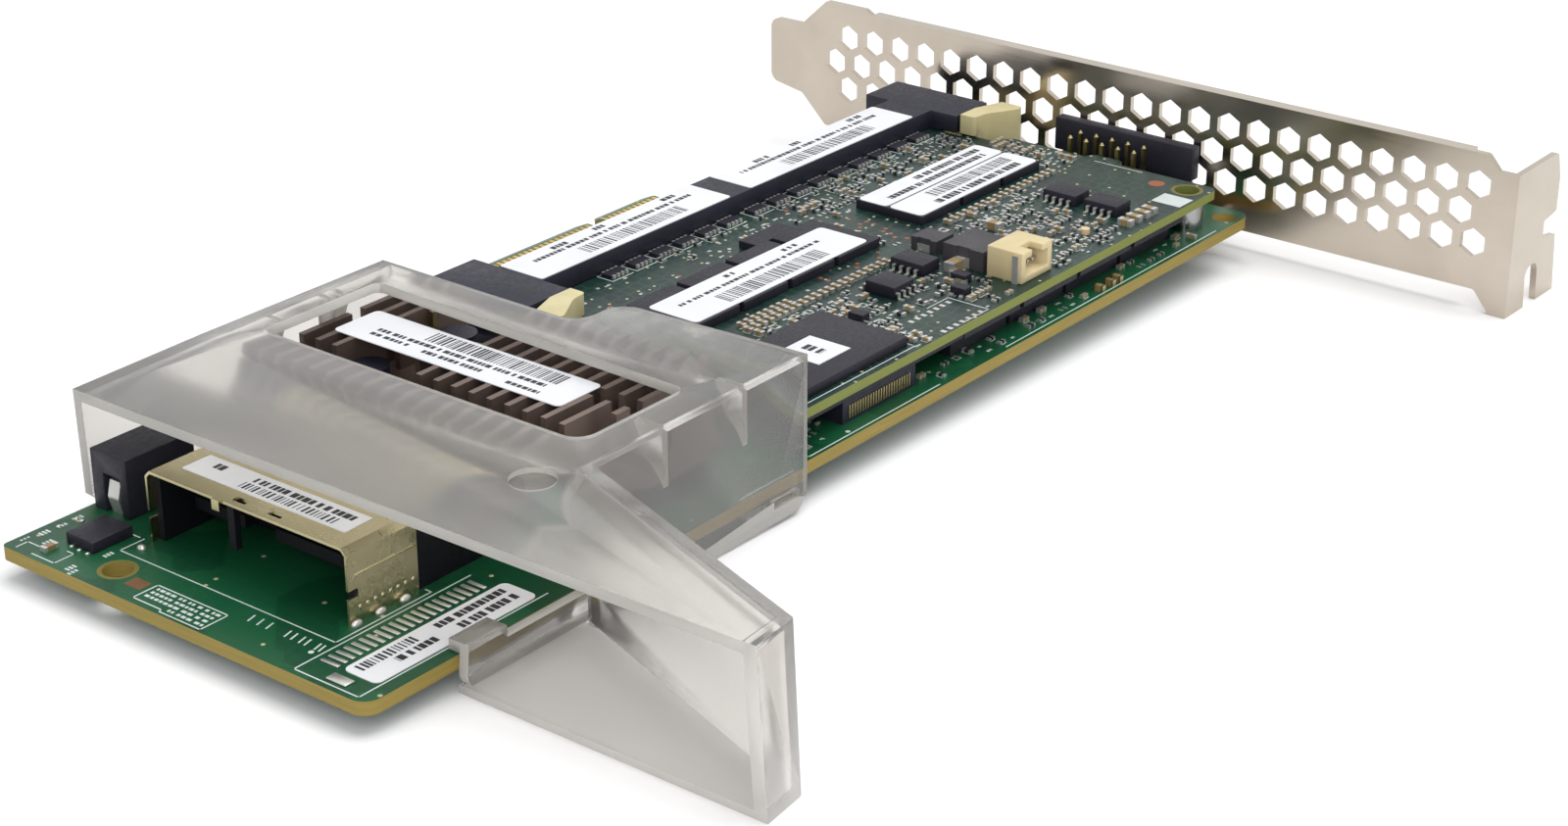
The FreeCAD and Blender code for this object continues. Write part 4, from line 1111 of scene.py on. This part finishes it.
@dataclass
class SmallParts:
    """The many small soldered parts of the boards, in one piece for each board."""

    name: str
    fields: Sequence[Field]
    keep_out: Sequence[Plan]
    seed: int
    length: float = 1.25
    width: float = 0.65
    ink: float = 0.014
    room: float = 0.75
    tan_slot: int = 1
    tin_slot: int = 2
    ink_slot: int = 3

    def __post_init__(self) -> None:
        """Start the mesh and the random draws."""
        self.dice = random.Random(self.seed)
        self.bench = Bench()

    def _free(self, x: float, y: float) -> bool:
        """Judge whether a place is clear of every bigger part.

        Args:
            x: The place's x.
            y: The place's y.

        Returns:
            Whether no bigger part lies within a small part's room of it.
        """
        return not any(across[0] - self.room < x < across[1] + self.room
                       and along[0] - self.room < y < along[1] + self.room
                       for across, along in self.keep_out)

    def part(self, x: float, y: float, seat: float, kind: Kind, turned: bool,
             scale: float = 1.0) -> None:
        """Solder one part.

        Args:
            x: Its middle.
            y: Its middle.
            seat: The board's face.
            kind: What it is.
            turned: Whether it lies along y.
            scale: Its size beside the usual one.
        """
        half = self.length * scale / 2
        side = self.width * scale / 2
        end = half * 0.5
        tall = kind.value * scale

        def lay(u: Span, v: Span, height: float, slot: int) -> None:
            """Add a box in the part's own directions.

            Args:
                u: Its lowest and highest place along the part.
                v: Its lowest and highest place across it.
                height: How high it stands over the board.
                slot: The material slot of its faces.
            """
            across, along = (v, u) if turned else (u, v)
            self.bench.block((x + across[0], x + across[1]), (y + along[0], y + along[1]),
                             (seat, seat + height), slot)

        if kind is not Kind.PADS:
            lay((end - half, half - end), (-side, side), tall,
                self.tan_slot if kind is Kind.TAN else 0)
        for sign in (-1.0, 1.0):
            lay(ordered(sign * (half - end), sign * (half + 0.05)), around(0.0, side + 0.02),
                tall + 0.01, self.tin_slot)
        if self.dice.random() < 0.4:
            for sign in (-1.0, 1.0):
                lay((-half, half), ordered(sign * (side + 0.12), sign * (side + 0.22)),
                    self.ink, self.ink_slot)

    def _mark(self, x: float, y: float, seat: float) -> None:
        """Print two or three tiny plain strokes.

        Args:
            x: Where the first one starts.
            y: Their lower end.
            seat: The board's face.
        """
        for step in range(self.dice.choice((2, 3))):
            start = x + step * 0.32
            self.bench.block((start, start + 0.2), (y, y + self.dice.uniform(0.25, 0.45)),
                             (seat, seat + self.ink), self.ink_slot)

    def _fill(self, field: Field, x: float, y: float, turned: bool) -> None:
        """Put a part or a few printed strokes on one place of a field.

        Args:
            field: The field.
            x: The place's x.
            y: The place's y.
            turned: Whether most parts of this row lie along y.
        """
        if self.dice.random() > field.fill:
            if self.dice.random() < 0.5:
                self._mark(x, y, field.seat)
            return
        draw = self.dice.random()
        kind = Kind.DARK
        if draw < field.tan:
            kind = Kind.TAN
        elif draw < field.tan + field.pads:
            kind = Kind.PADS
        flip = turned if self.dice.random() < 0.85 else not turned
        self.part(x, y, field.seat, kind, flip, self.dice.choice((0.8, 0.9, 1.0)))

    def build(self) -> None:
        """Fill every patch and keep the piece."""
        for field in self.fields:
            y = field.y[0]
            while y < field.y[1]:
                x = field.x[0] + self.dice.uniform(0.0, field.pitch[0] / 2)
                turned = self.dice.random() < 0.35
                while x < field.x[1]:
                    if self._free(x, y):
                        self._fill(field, x, y, turned)
                    x += field.pitch[0] * self.dice.choice((1.0, 1.0, 1.0, 1.6))
                y += field.pitch[1]
        self.bench.keep(self.name, (CERAMIC_DARK, CERAMIC_TAN, TIN, SILK_INK), "tin")


@dataclass(frozen=True)
class Module:
    """What is soldered and printed on the cache module's face."""

    top: float = 5.0
    hole: Span = (11.8, -4.8)
    hole_ring: Span = (1.66, 2.15)
    ink: float = 0.014
    chip_height: float = 1.5
    keep_out: tuple[Plan, ...] = (
        ((17.0, 44.4), (-35.2, -24.6)), ((53.2, 89.5), (-35.2, -24.6)),
        ((56.2, 64.5), (-38.4, -35.2)), ((76.5, 96.0), (-16.3, -3.4)),
        ((21.6, 27.7), (-17.9, -12.9)), ((21.6, 27.7), (-11.6, -6.6)),
        ((53.3, 59.5), (-19.3, -14.4)), ((62.2, 66.2), (-18.5, -11.5)),
        ((45.7, 52.8), (-15.4, -9.4)), ((47.2, 51.4), (-21.2, -17.4)),
        ((45.8, 53.6), (-9.0, -2.0)), ((8.0, 20.4), (-21.0, -1.0)),
        ((61.8, 71.4), (-7.8, -2.2)), ((20.8, 29.2), (-5.6, -2.8)),
        ((46.0, 50.4), (-34.2, -23.0)), ((9.0, 12.9), (-46.0, -36.0)),
        ((92.2, 98.0), (-46.0, -36.0)),
    )
    fields: tuple[Field, ...] = (
        Field((14.0, 50.0), (-42.6, -36.0), (1.75, 1.35), 0.85, 0.2),
        Field((50.0, 66.0), (-42.6, -36.4), (2.4, 1.6), 0.3, 0.2),
        Field((66.0, 91.0), (-43.0, -36.4), (3.4, 2.4), 0.16, 0.3),
        Field((10.5, 16.2), (-35.0, -22.4), (1.5, 1.3), 0.6, 0.4),
        Field((44.9, 52.6), (-35.4, -22.0), (1.6, 1.5), 0.4, 0.3),
        Field((90.4, 98.6), (-34.2, -17.6), (1.6, 1.5), 0.5, 0.3),
        Field((10.5, 46.0), (-21.6, -2.8), (1.75, 1.3), 0.78, 0.3),
        Field((46.0, 98.0), (-24.1, -23.0), (1.5, 1.1), 0.7, 0.3),
        Field((53.0, 76.0), (-18.6, -2.6), (1.75, 1.3), 0.8, 0.25),
        Field((76.0, 98.0), (-18.9, -17.0), (1.5, 1.1), 0.6, 0.3),
        Field((71.6, 76.0), (-17.0, -2.6), (1.4, 1.2), 0.5, 0.3),
    )
    array_count: int = 15
    array_start: float = 15.6
    array_pitch: float = 4.45
    key_gap: float = 1.2
    key_after: int = 8
    lead_count: int = 4
    lead_pitch: float = 1.1
    leaded_chips: tuple[tuple[Span, Span, Side], ...] = (
        ((22.9, 26.4), (-17.9, -12.9), Side.ALONG_Y),
        ((22.9, 26.4), (-11.6, -6.6), Side.ALONG_Y),
        ((54.6, 58.2), (-19.3, -14.4), Side.ALONG_Y),
        ((62.2, 66.2), (-17.2, -12.8), Side.ALONG_X),
    )
    transistors: tuple[Span, ...] = ((56.3, -10.0), (59.8, -7.6), (73.9, -12.4))
    orange_dots: tuple[Span, ...] = (
        (47.9, -33.4), (48.4, -31.3), (47.2, -31.1), (47.3, -29.9), (49.4, -30.5),
        (47.7, -27.7), (48.6, -27.4), (48.7, -26.2), (49.4, -25.0), (48.7, -23.6),
        (54.9, -23.6), (56.3, -22.4), (59.5, -23.4), (60.6, -22.6), (66.1, -24.0),
        (66.2, -22.8), (76.3, -38.0), (89.0, -38.2), (47.2, -43.0), (50.5, -41.6),
    )
    bright_dots: tuple[Span, ...] = (
        (85.5, -43.2), (83.8, -42.9), (90.0, -41.3), (75.4, -41.6), (69.2, -42.4),
        (64.7, -41.5), (65.5, -38.9), (66.9, -39.3), (70.3, -22.8), (70.9, -38.0),
        (45.3, -24.3), (44.2, -22.9), (29.6, -20.6), (34.2, -19.0), (36.8, -6.3),
    )
    white_shapes: tuple[Plan, ...] = (
        ((76.0, 96.4), (-2.75, -2.6)), ((76.0, 76.12), (-16.6, -3.0)),
        ((61.6, 61.75), (-8.0, -2.2)), ((61.6, 66.0), (-2.3, -2.18)),
        ((61.6, 66.0), (-8.2, -8.08)), ((9.6, 9.75), (-20.6, -13.0)),
    )

    def _up(self, height: float) -> Span:
        """Return the span from the board's face up to a height over it."""
        return (self.top, self.top + height)

    def build(self) -> None:
        """Solder, then print."""
        SmallParts("module_small_parts", self.fields, self.keep_out, 5).build()
        self._rows()
        self._packages()
        self._print()

    def _rows(self) -> None:
        """Solder the regular rows: arrays by the socket and capacitors by the chips."""
        parts = SmallParts("module_rows", (), (), 8)
        for start, pitch, count, y, scale in ((57.3, 1.3, 22, -20.5, 0.95),
                                              (75.3, 1.25, 8, -22.0, 0.9),
                                              (17.4, 1.4, 18, -22.6, 0.9)):
            for index in range(count):
                parts.part(start + index * pitch, y, self.top, Kind.TAN, True, scale)
        for x in (22.1, 23.8, 25.7, 27.7):
            parts.part(x, -4.3, self.top, Kind.TAN, True, 1.5)
        parts.part(53.6, -12.8, self.top, Kind.TAN, False, 2.2)
        parts.part(39.2, -16.9, self.top, Kind.TAN, True, 1.8)
        parts.build()

    def _arrays(self, bench: Bench) -> None:
        """Solder the resistor arrays in front of the socket.

        Args:
            bench: The mesh being made.
        """
        body, tin, ink = 0, 1, 2
        for index in range(self.array_count):
            x = self.array_start + index * self.array_pitch
            x += self.key_gap if index > self.key_after else 0.0
            bench.block((x, x + 3.2), (-45.4, -43.9), self._up(0.45), body)
            for step in range(4):
                start = x + 0.2 + step * 0.78
                for y in (-45.65, -43.9):
                    bench.block((start, start + 0.46), (y, y + 0.3), self._up(0.47), tin)
            for y in (-45.9, -43.3):
                bench.block((x - 0.3, x + 3.5), (y, y + 0.12), self._up(self.ink), ink)
            bench.block((x + 3.5, x + 3.62), (-45.9, -43.2), self._up(self.ink), ink)

    def _wings(self, bench: Bench, x: Span, y: Span, along: Side) -> None:
        """Bend the leads of one small chip out and down to the board.

        Args:
            bench: The mesh being made.
            x: The chip's x span.
            y: The chip's y span.
            along: The direction in which each row of leads runs.
        """
        span, edges = (y, x) if along is Side.ALONG_Y else (x, y)
        first = (span[0] + span[1]) / 2 - (self.lead_count - 1) / 2 * self.lead_pitch
        shoulder = self.top + self.chip_height * 0.45
        steps = (((0.0, 0.45), (shoulder, shoulder + 0.16)),
                 ((0.33, 0.5), (self.top + 0.05, shoulder + 0.1)),
                 ((0.4, 1.1), self._up(0.16)))
        for index in range(self.lead_count):
            across = around(first + index * self.lead_pitch, 0.21)
            for edge, sign in zip(edges, (-1.0, 1.0)):
                for reach, z in steps:
                    out = ordered(edge + sign * reach[0], edge + sign * reach[1])
                    plan = (out, across) if along is Side.ALONG_Y else (across, out)
                    bench.block(*plan, z, 1)

    def _packages(self) -> None:
        """Add the arrays, leads, terminals and plain packages."""
        bench = Bench()
        body, tin, pale = 0, 1, 3
        self._arrays(bench)
        for x, y, along in self.leaded_chips:
            self._wings(bench, x, y, along)
        for x, y in self.transistors:
            bench.rounded(around(x, 0.75), around(y, 1.1), (self.top + 0.1, self.top + 1.1),
                          0.1, body)
            for step in (-0.7, 0.7):
                for edge in (-1.25, 0.75):
                    bench.block((x + edge, x + edge + 0.5), around(y + step, 0.2),
                                self._up(0.2), tin)
        bench.rounded((56.4, 64.4), (-38.3, -35.4), self._up(1.0), 0.12, body)
        for low, high, y, tall in ((46.0, 52.5, -12.4, 1.3), (47.4, 51.2, -19.3, 0.9)):
            for x in ((low, low + 0.24), (high - 0.24, high)):
                bench.block(x, around(y, 0.95), self._up(tall), tin)
        for index in range(7):
            x = 62.6 + index * 1.27
            for y in (-7.6, -2.9):
                bench.block((x, x + 0.55), (y, y + 0.75), self._up(0.03), tin)
        bench.rod((33.4, -6.8), self._up(0.7), 0.6, 12, pale)
        bench.keep("module_packages", [CHIP_BLACK, TIN, SILK_INK, CERAMIC_PALE], "chip_black")

    def _print(self) -> None:
        """Add test pads, tinned vias and larger printed shapes."""
        bench = Bench()
        copper, ink, laminate = 1, 2, 3
        face = self._up(0.016)
        for place in self.orange_dots:
            bench.rod(place, face, 0.3, 12, copper)
        for place in self.bright_dots:
            bench.rod(place, self._up(0.03), 0.28, 12)
        bench.block((14.6, 18.0), (-6.5, -2.2), face, ink)
        bench.rod((12.1, -9.3), face, 1.1, 24, copper)
        bench.ring(self.hole, face, *self.hole_ring, slot=laminate)
        for x, y in self.white_shapes:
            bench.block(x, y, face, ink)
        bench.keep("module_print", [TIN, COPPER, SILK_INK, BARE_LAMINATE], "label_white",
                   smooth=50.0)


@dataclass(frozen=True)
class BetweenBoards:
    """What shows in the gap between the module and the controller board, where the dark packages
    and the black strip under the module's edge are partly real black parts and partly painted
    shade in the gap.
    """

    fields: tuple[Field, ...] = (
        Field((14.0, 74.0), (-3.4, -1.4), (2.4, 1.6), 0.5, 0.3, 0.1, seat=0.0),
        Field((91.0, 98.0), (-5.4, -1.8), (1.9, 1.5), 0.6, 0.3, 0.1, seat=0.0),
        Field((3.6, 9.0), (-9.0, -4.4), (1.9, 1.6), 0.5, 0.4, 0.1, seat=0.0),
    )
    keep_out: tuple[Plan, ...] = (((0.0, 14.3), (-7.6, 0.0)), ((75.5, 90.5), (-7.0, -1.6)),
                                  ((33.0, 39.4), (-3.0, -0.4)))
    shade_package_starts: tuple[float, ...] = (17.0, 29.6, 42.2, 54.8)
    shade_package_length: float = 11.8
    capacitors: Place = (34.1, 35.8, 38.2)
    leads: Span = (77.2, 89.2)
    lead_pitch: float = 0.5
    lead_width: float = 0.22

    def build(self) -> None:
        """Add the edge parts, the connector's leads, and the dark packages and strip that partly
        stand in as painted shade.
        """
        SmallParts("board_edge_parts", self.fields, self.keep_out, 21).build()
        bench = Bench()
        metal, tan = 1, 2
        # Dark packages on the module's underside and on the board beneath it: partly chips, partly
        # painted shade that darkens the gap.
        for x in self.shade_package_starts:
            for z, y in (((2.75, 3.8), (-13.0, -2.2)), ((0.0, 1.5), (-15.0, -4.2))):
                bench.rounded((x, x + self.shade_package_length), y, z, 0.08)
        # Black strip under the module's edge: partly black plastic, partly painted shade for the
        # dark band beneath the module.
        bench.rounded((66.8, 98.2), (-3.4, -2.2), (3.0, 3.8), 0.1)
        for x in self.capacitors:
            bench.block(around(x, 0.35), (-1.9, -0.8), (0.0, 0.9), tan)
            for y in (-2.05, -0.9):
                bench.block(around(x, 0.37), (y, y + 0.25), (0.0, 0.92), metal)
        start = self.leads[0]
        while start < self.leads[1]:
            bench.block((start, start + self.lead_width), (-2.6, -2.45), (0.5, 2.1), metal)
            start += self.lead_pitch
        bench.keep("between_boards", [CHIP_BLACK, PIN_METAL, CERAMIC_TAN], "black_plastic")


@dataclass(frozen=True)
class Hardware:
    """Springs, screw heads and the header's pins."""

    spring_places: tuple[Span, ...] = ((124.5, -42.5), (111.8, -41.2))
    spring_z: Span = (4.8, 7.7)
    spring_outer: float = 2.0
    wire: float = 0.42
    turns: float = 3.25
    steps_a_turn: int = 24
    screw_x: float = 6.2
    screw_places: Span = (-10.5, -35.6)
    shank_depth: float = 2.43
    shank_radius: float = 1.45
    head_radius: float = 2.75
    head_height: float = 1.8
    head_rounding: float = 0.6
    recess_inset: float = 1.35
    recess_depth: float = 0.9
    pin_columns: Span = (4.34, 6.88)
    pin_start: float = -26.33
    pin_pitch: float = 2.54
    pins_a_column: int = 5
    pin_half: float = 0.27
    pin_z: Place = (2.5, 6.3, 6.65)

    def build(self) -> None:
        """Wind the springs, turn the screws and cut the header's pins."""
        self._springs()
        self._screws()
        self._header()

    def _springs(self) -> None:
        """Wind a wire between the heatsink and each pin's head."""
        radius = self.spring_outer - self.wire / 2
        bottom = self.spring_z[0] + self.wire / 2
        rise = (self.spring_z[1] - self.wire / 2) - bottom
        steps = int(self.turns * self.steps_a_turn)
        bench = Bench()
        for x, y in self.spring_places:
            centre = DATUM.at(x, y, bottom)
            stand = Matrix.Translation(centre + Vector((radius * MM, 0.0, 0.0)))
            stand = stand @ Matrix.Rotation(math.radians(90.0), 4, "X")
            ring = bmesh.ops.create_circle(bench.work, segments=8, radius=self.wire / 2 * MM,
                                           matrix=stand)
            edges = list(bench.edges_of(ring["verts"]))
            made = bmesh.ops.spin(bench.work, geom=ring["verts"] + edges, cent=centre,
                                  axis=(0.0, 0.0, 1.0), dvec=(0.0, 0.0, rise * MM / steps),
                                  angle=self.turns * 2.0 * math.pi, steps=steps,
                                  use_merge=False)
            ends = [item for item in made["geom_last"] if isinstance(item, bmesh.types.BMEdge)]
            bmesh.ops.holes_fill(bench.work, edges=edges + ends, sides=0)
        bmesh.ops.remove_doubles(bench.work, verts=bench.work.verts, dist=0.001 * MM)
        bmesh.ops.recalc_face_normals(bench.work, faces=bench.work.faces)
        bench.keep("wound_springs", [SPRING_STEEL], "spring_steel", replaces=["pin_springs"],
                   smooth=60.0)

    def _screws(self) -> None:
        """Turn a rounded head with a round recess on each screw's shank."""
        bench = Bench()
        work = bench.work
        for y in self.screw_places:
            place = (self.screw_x, y)
            bench.rod(place, (-self.shank_depth, 0.0), self.shank_radius, 24)
            head = bench.rod(place, (0.0, self.head_height), self.head_radius, 36)
            top = max(vert.co.z for vert in head)
            rim = [vert for vert in head if vert.co.z > top - 0.01 * MM]
            lid = [face for face in bench.faces_of(rim) if face.normal.z > 0.9]
            bmesh.ops.inset_region(work, faces=lid, thickness=self.recess_inset * MM, depth=0.0)
            sunk = bmesh.ops.extrude_face_region(work, geom=lid)
            floor = [item for item in sunk["geom"] if isinstance(item, bmesh.types.BMVert)]
            bmesh.ops.translate(work, verts=floor, vec=(0.0, 0.0, -self.recess_depth * MM))
            bmesh.ops.delete(work, geom=lid, context="FACES_ONLY")
            edges = [edge for edge in bench.edges_of(rim)
                     if all(vert in rim for vert in edge.verts)]
            bench.bevel(edges, self.head_rounding, 3)
        bmesh.ops.recalc_face_normals(work, faces=work.faces)
        bench.keep("turned_screws", [SCREW_STEEL], "screw_steel", replaces=["bracket_screws"],
                   smooth=40.0)

    def _header(self) -> None:
        """Stand slim pins with pointed tips in the header, as low as they show."""
        bench = Bench()
        foot, shoulder, tip = self.pin_z
        for x in self.pin_columns:
            for index in range(self.pins_a_column):
                y = self.pin_start + index * self.pin_pitch
                bench.block(around(x, self.pin_half), around(y, self.pin_half),
                            (foot, shoulder))
                bench.rod((x, y), (shoulder, tip), 0.36, 4, top=0.4)
        bench.keep("slim_header_pins", [PIN_METAL], "gold", replaces=["header_pins"])


@dataclass(frozen=True)
class RearBlock:
    """The dark body that shows in front of the bracket, behind the header."""

    body_x: Span = (0.45, 2.3)
    body_y: Span = (-31.8, -9.7)
    body_z: Span = (2.3, 7.0)
    base_x: Span = (0.65, 2.2)
    base_y: Span = (-27.8, -10.4)
    base_z: Span = (0.0, 2.4)

    def build(self) -> None:
        """Mould the raised body and its narrower base."""
        bench = Bench()
        bench.rounded(self.body_x, self.body_y, self.body_z, 0.2)
        bench.rounded(self.base_x, self.base_y, self.base_z, 0.1)
        bench.keep("rear_block", [SIDE_PLASTIC], "black_plastic", smooth=40.0)


@dataclass(frozen=True)
class CageDetail:
    """Pressed marks on the port cage's outer wall."""

    wall: float = -12.4
    ridge_x: Span = (148.2, 156.6)
    ridge_z: Span = (5.1, 5.35)
    dimples: int = 8
    first_dimple: float = 156.0
    dimple_pitch: float = 1.05

    def build(self) -> None:
        """Press the long bead and the row of dimples."""
        bench = Bench()
        bench.rounded(self.ridge_x, (self.wall - 0.05, self.wall + 0.09), self.ridge_z, 0.06)
        for index in range(self.dimples):
            x = self.first_dimple - index * self.dimple_pitch
            bench.bead((x, self.wall, 1.5), (0.28, 0.12, 0.34))
        bench.keep("cage_pressings", [CAGE_METAL], "cage_metal", smooth=50.0)


NODE_FINISHES: dict[str, Finish] = {
    "bracket": BRACKET_STEEL,
    "main_board": BOARD_GREEN,
    "edge_contacts": GOLD,
    "port_cage": CAGE_METAL,
    "port_housing": PORT_PLASTIC,
    "port_contacts": GOLD,
    "side_contact": TIN,
    "heatsink": FIN_METAL,
    "controller_chip": CHIP_BLACK,
    "post_pin": PIN_METAL,
    "module_board": MODULE_GREEN,
    "module_standoff": SPRING_STEEL,
    "cable_socket_pins": TIN,
    "socket_leads": TIN,
    "latch_pins": SCREW_STEEL,
    "processor_sticker": LABEL_FILM,
    "joiner_socket": BLACK_PLASTIC,
    "joiner_plug": BLACK_PLASTIC,
    "header_base": BLACK_PLASTIC,
    "push_pins": BLACK_PLASTIC,
    "coils": COIL_GREY,
}


def dress_nodes() -> None:
    """Give each solid that shows as it is its finish."""
    for name, finish in NODE_FINISHES.items():
        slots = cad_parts[name].data.materials
        slots.clear()
        slots.append(finish.material())


def softened_pieces() -> list[Softened]:
    """List the moulded pieces whose edges are rounded.

    Returns:
        One entry for each piece.
    """
    label = {"slot": "label_white", "finish": LABEL_FILM, "segments": 4,
             "edges": Edges.UPRIGHT}
    return [
        Softened("air_duct", DUCT_CLEAR, "duct_clear", 0.3, rim=DUCT_EDGE),
        Softened("latch_far", LATCH_CREAM, "latch_cream", 0.35, "latch_far", 3),
        Softened("latch_near", LATCH_CREAM, "latch_cream", 0.35, "latch_near", 3),
        Softened("cable_socket", SOCKET_CREAM, "socket_cream", 0.15),
        Softened("socket_housing", BLACK_PLASTIC, "black_plastic", 0.12),
        Softened("side_connector", SIDE_PLASTIC, "black_plastic", 0.15),
        Softened("end_chip", CHIP_BLACK, "chip_black", 0.1),
        Softened("memory_chips", CHIP_BLACK, "chip_black", 0.08),
        Softened("module_processor", CHIP_BLACK, "chip_black", 0.1),
        Softened("small_chips", CHIP_BLACK, "chip_black", 0.1),
        Softened("heatsink_label", radius=0.7, **label),
        Softened("port_label", radius=0.15, **label),
        Softened("board_label", radius=0.8, **label),
        Softened("socket_labels", radius=0.4, **label),
        Softened("module_labels", radius=0.7, **label),
    ]


@dataclass(frozen=True)
class Stage:
    """Floor, lights, world and camera."""

    lens: float = 67.71
    sensor: float = 36.0
    near_clip: float = 0.01
    eye: Place = (332.36, 178.86, 140.14)
    sight: Place = (-0.7157, -0.5607, -0.4164)
    floor_reach: float = 4.0
    floor_colour: tuple[float, ...] = (0.93, 0.93, 0.94, 1.0)
    duct_foot_inset: float = 0.03
    world_light: float = 0.62
    world_seen: float = 1.0

    def _floor(self) -> None:
        """Lay a pale floor that slopes from the bracket's lowest point to the duct's."""
        low, high = CAD_BOUNDS
        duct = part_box("air_duct")[0]
        rise = (duct.z - low.z) / (high.x - low.x - self.duct_foot_inset)
        work = bmesh.new()
        bmesh.ops.create_grid(work, x_segments=1, y_segments=1, size=self.floor_reach / 2)
        for vert in work.verts:
            vert.co.z = low.z + (vert.co.x - low.x) * rise
        mesh = bpy.data.meshes.new("floor")
        work.to_mesh(mesh)
        work.free()
        floor = bpy.data.objects.new("floor", mesh)
        bpy.context.scene.collection.objects.link(floor)
        made = bpy.data.materials.new("pale_floor")
        made.use_nodes = True
        Graph(made.node_tree).feed(made.node_tree.nodes["Principled BSDF"], {
            "Base Color": self.floor_colour, "Roughness": 0.9, "Specular IOR Level": 0.1})
        mesh.materials.append(made)

    @staticmethod
    def _lamp(name: str, place: Place, size: float, power: float) -> None:
        """Hang one soft square lamp that points at the frame's origin.

        Args:
            name: Its name.
            place: Where it hangs, in metres.
            size: The side of its square, in metres.
            power: Its power in watts.
        """
        data = bpy.data.lights.new(name, "AREA")
        data.shape = "SQUARE"
        data.size = size
        data.energy = power
        lamp = bpy.data.objects.new(name, data)
        lamp.location = place
        lamp.rotation_euler = (-Vector(place)).to_track_quat("-Z", "Y").to_euler()
        bpy.context.scene.collection.objects.link(lamp)

    def _world(self) -> None:
        """White surroundings for the eye, gloss and glass, softer as a light."""
        world = bpy.data.worlds.new("studio")
        world.use_nodes = True
        bpy.context.scene.world = world
        graph = Graph(world.node_tree)
        rays = graph.node("LightPath").outputs
        seen = graph.math("MAXIMUM", rays["Is Camera Ray"],
                          graph.math("MAXIMUM", rays["Is Glossy Ray"],
                                     rays["Is Transmission Ray"]))
        strength = graph.band(seen, 0.0, 1.0, self.world_light, self.world_seen)
        graph.feed(world.node_tree.nodes["Background"],
                   {"Color": (1.0, 1.0, 1.0, 1.0), "Strength": strength})

    def _camera(self) -> None:
        """Stand the camera where the photograph was taken from."""
        data = bpy.data.cameras.new("camera")
        data.lens = self.lens
        data.sensor_width = self.sensor
        data.sensor_fit = "HORIZONTAL"
        data.clip_start = self.near_clip
        camera = bpy.data.objects.new("camera", data)
        camera.location = DATUM.at(*self.eye)
        camera.rotation_euler = Vector(self.sight).to_track_quat("-Z", "Y").to_euler()
        bpy.context.scene.collection.objects.link(camera)
        bpy.context.scene.camera = camera

    def build(self) -> None:
        """Set the stage."""
        self._floor()
        self._lamp("key_lamp", (-0.15, 0.1, 0.75), 0.7, 4.6)
        self._lamp("fill_lamp", (0.6, 0.5, 0.45), 0.6, 2.2)
        self._world()
        self._camera()
        bpy.context.scene.view_settings.view_transform = "Standard"


def main() -> None:
    """Build the scene in order."""
    logging.basicConfig(level=logging.INFO, format="%(name)s: %(message)s")
    Stage().build()
    dress_nodes()
    for group in (*softened_pieces(), Labels(), BoardPrint(), Module(), BetweenBoards(),
                  Hardware(), RearBlock(), CageDetail()):
        group.build()


if __name__ == "__main__":
    main()
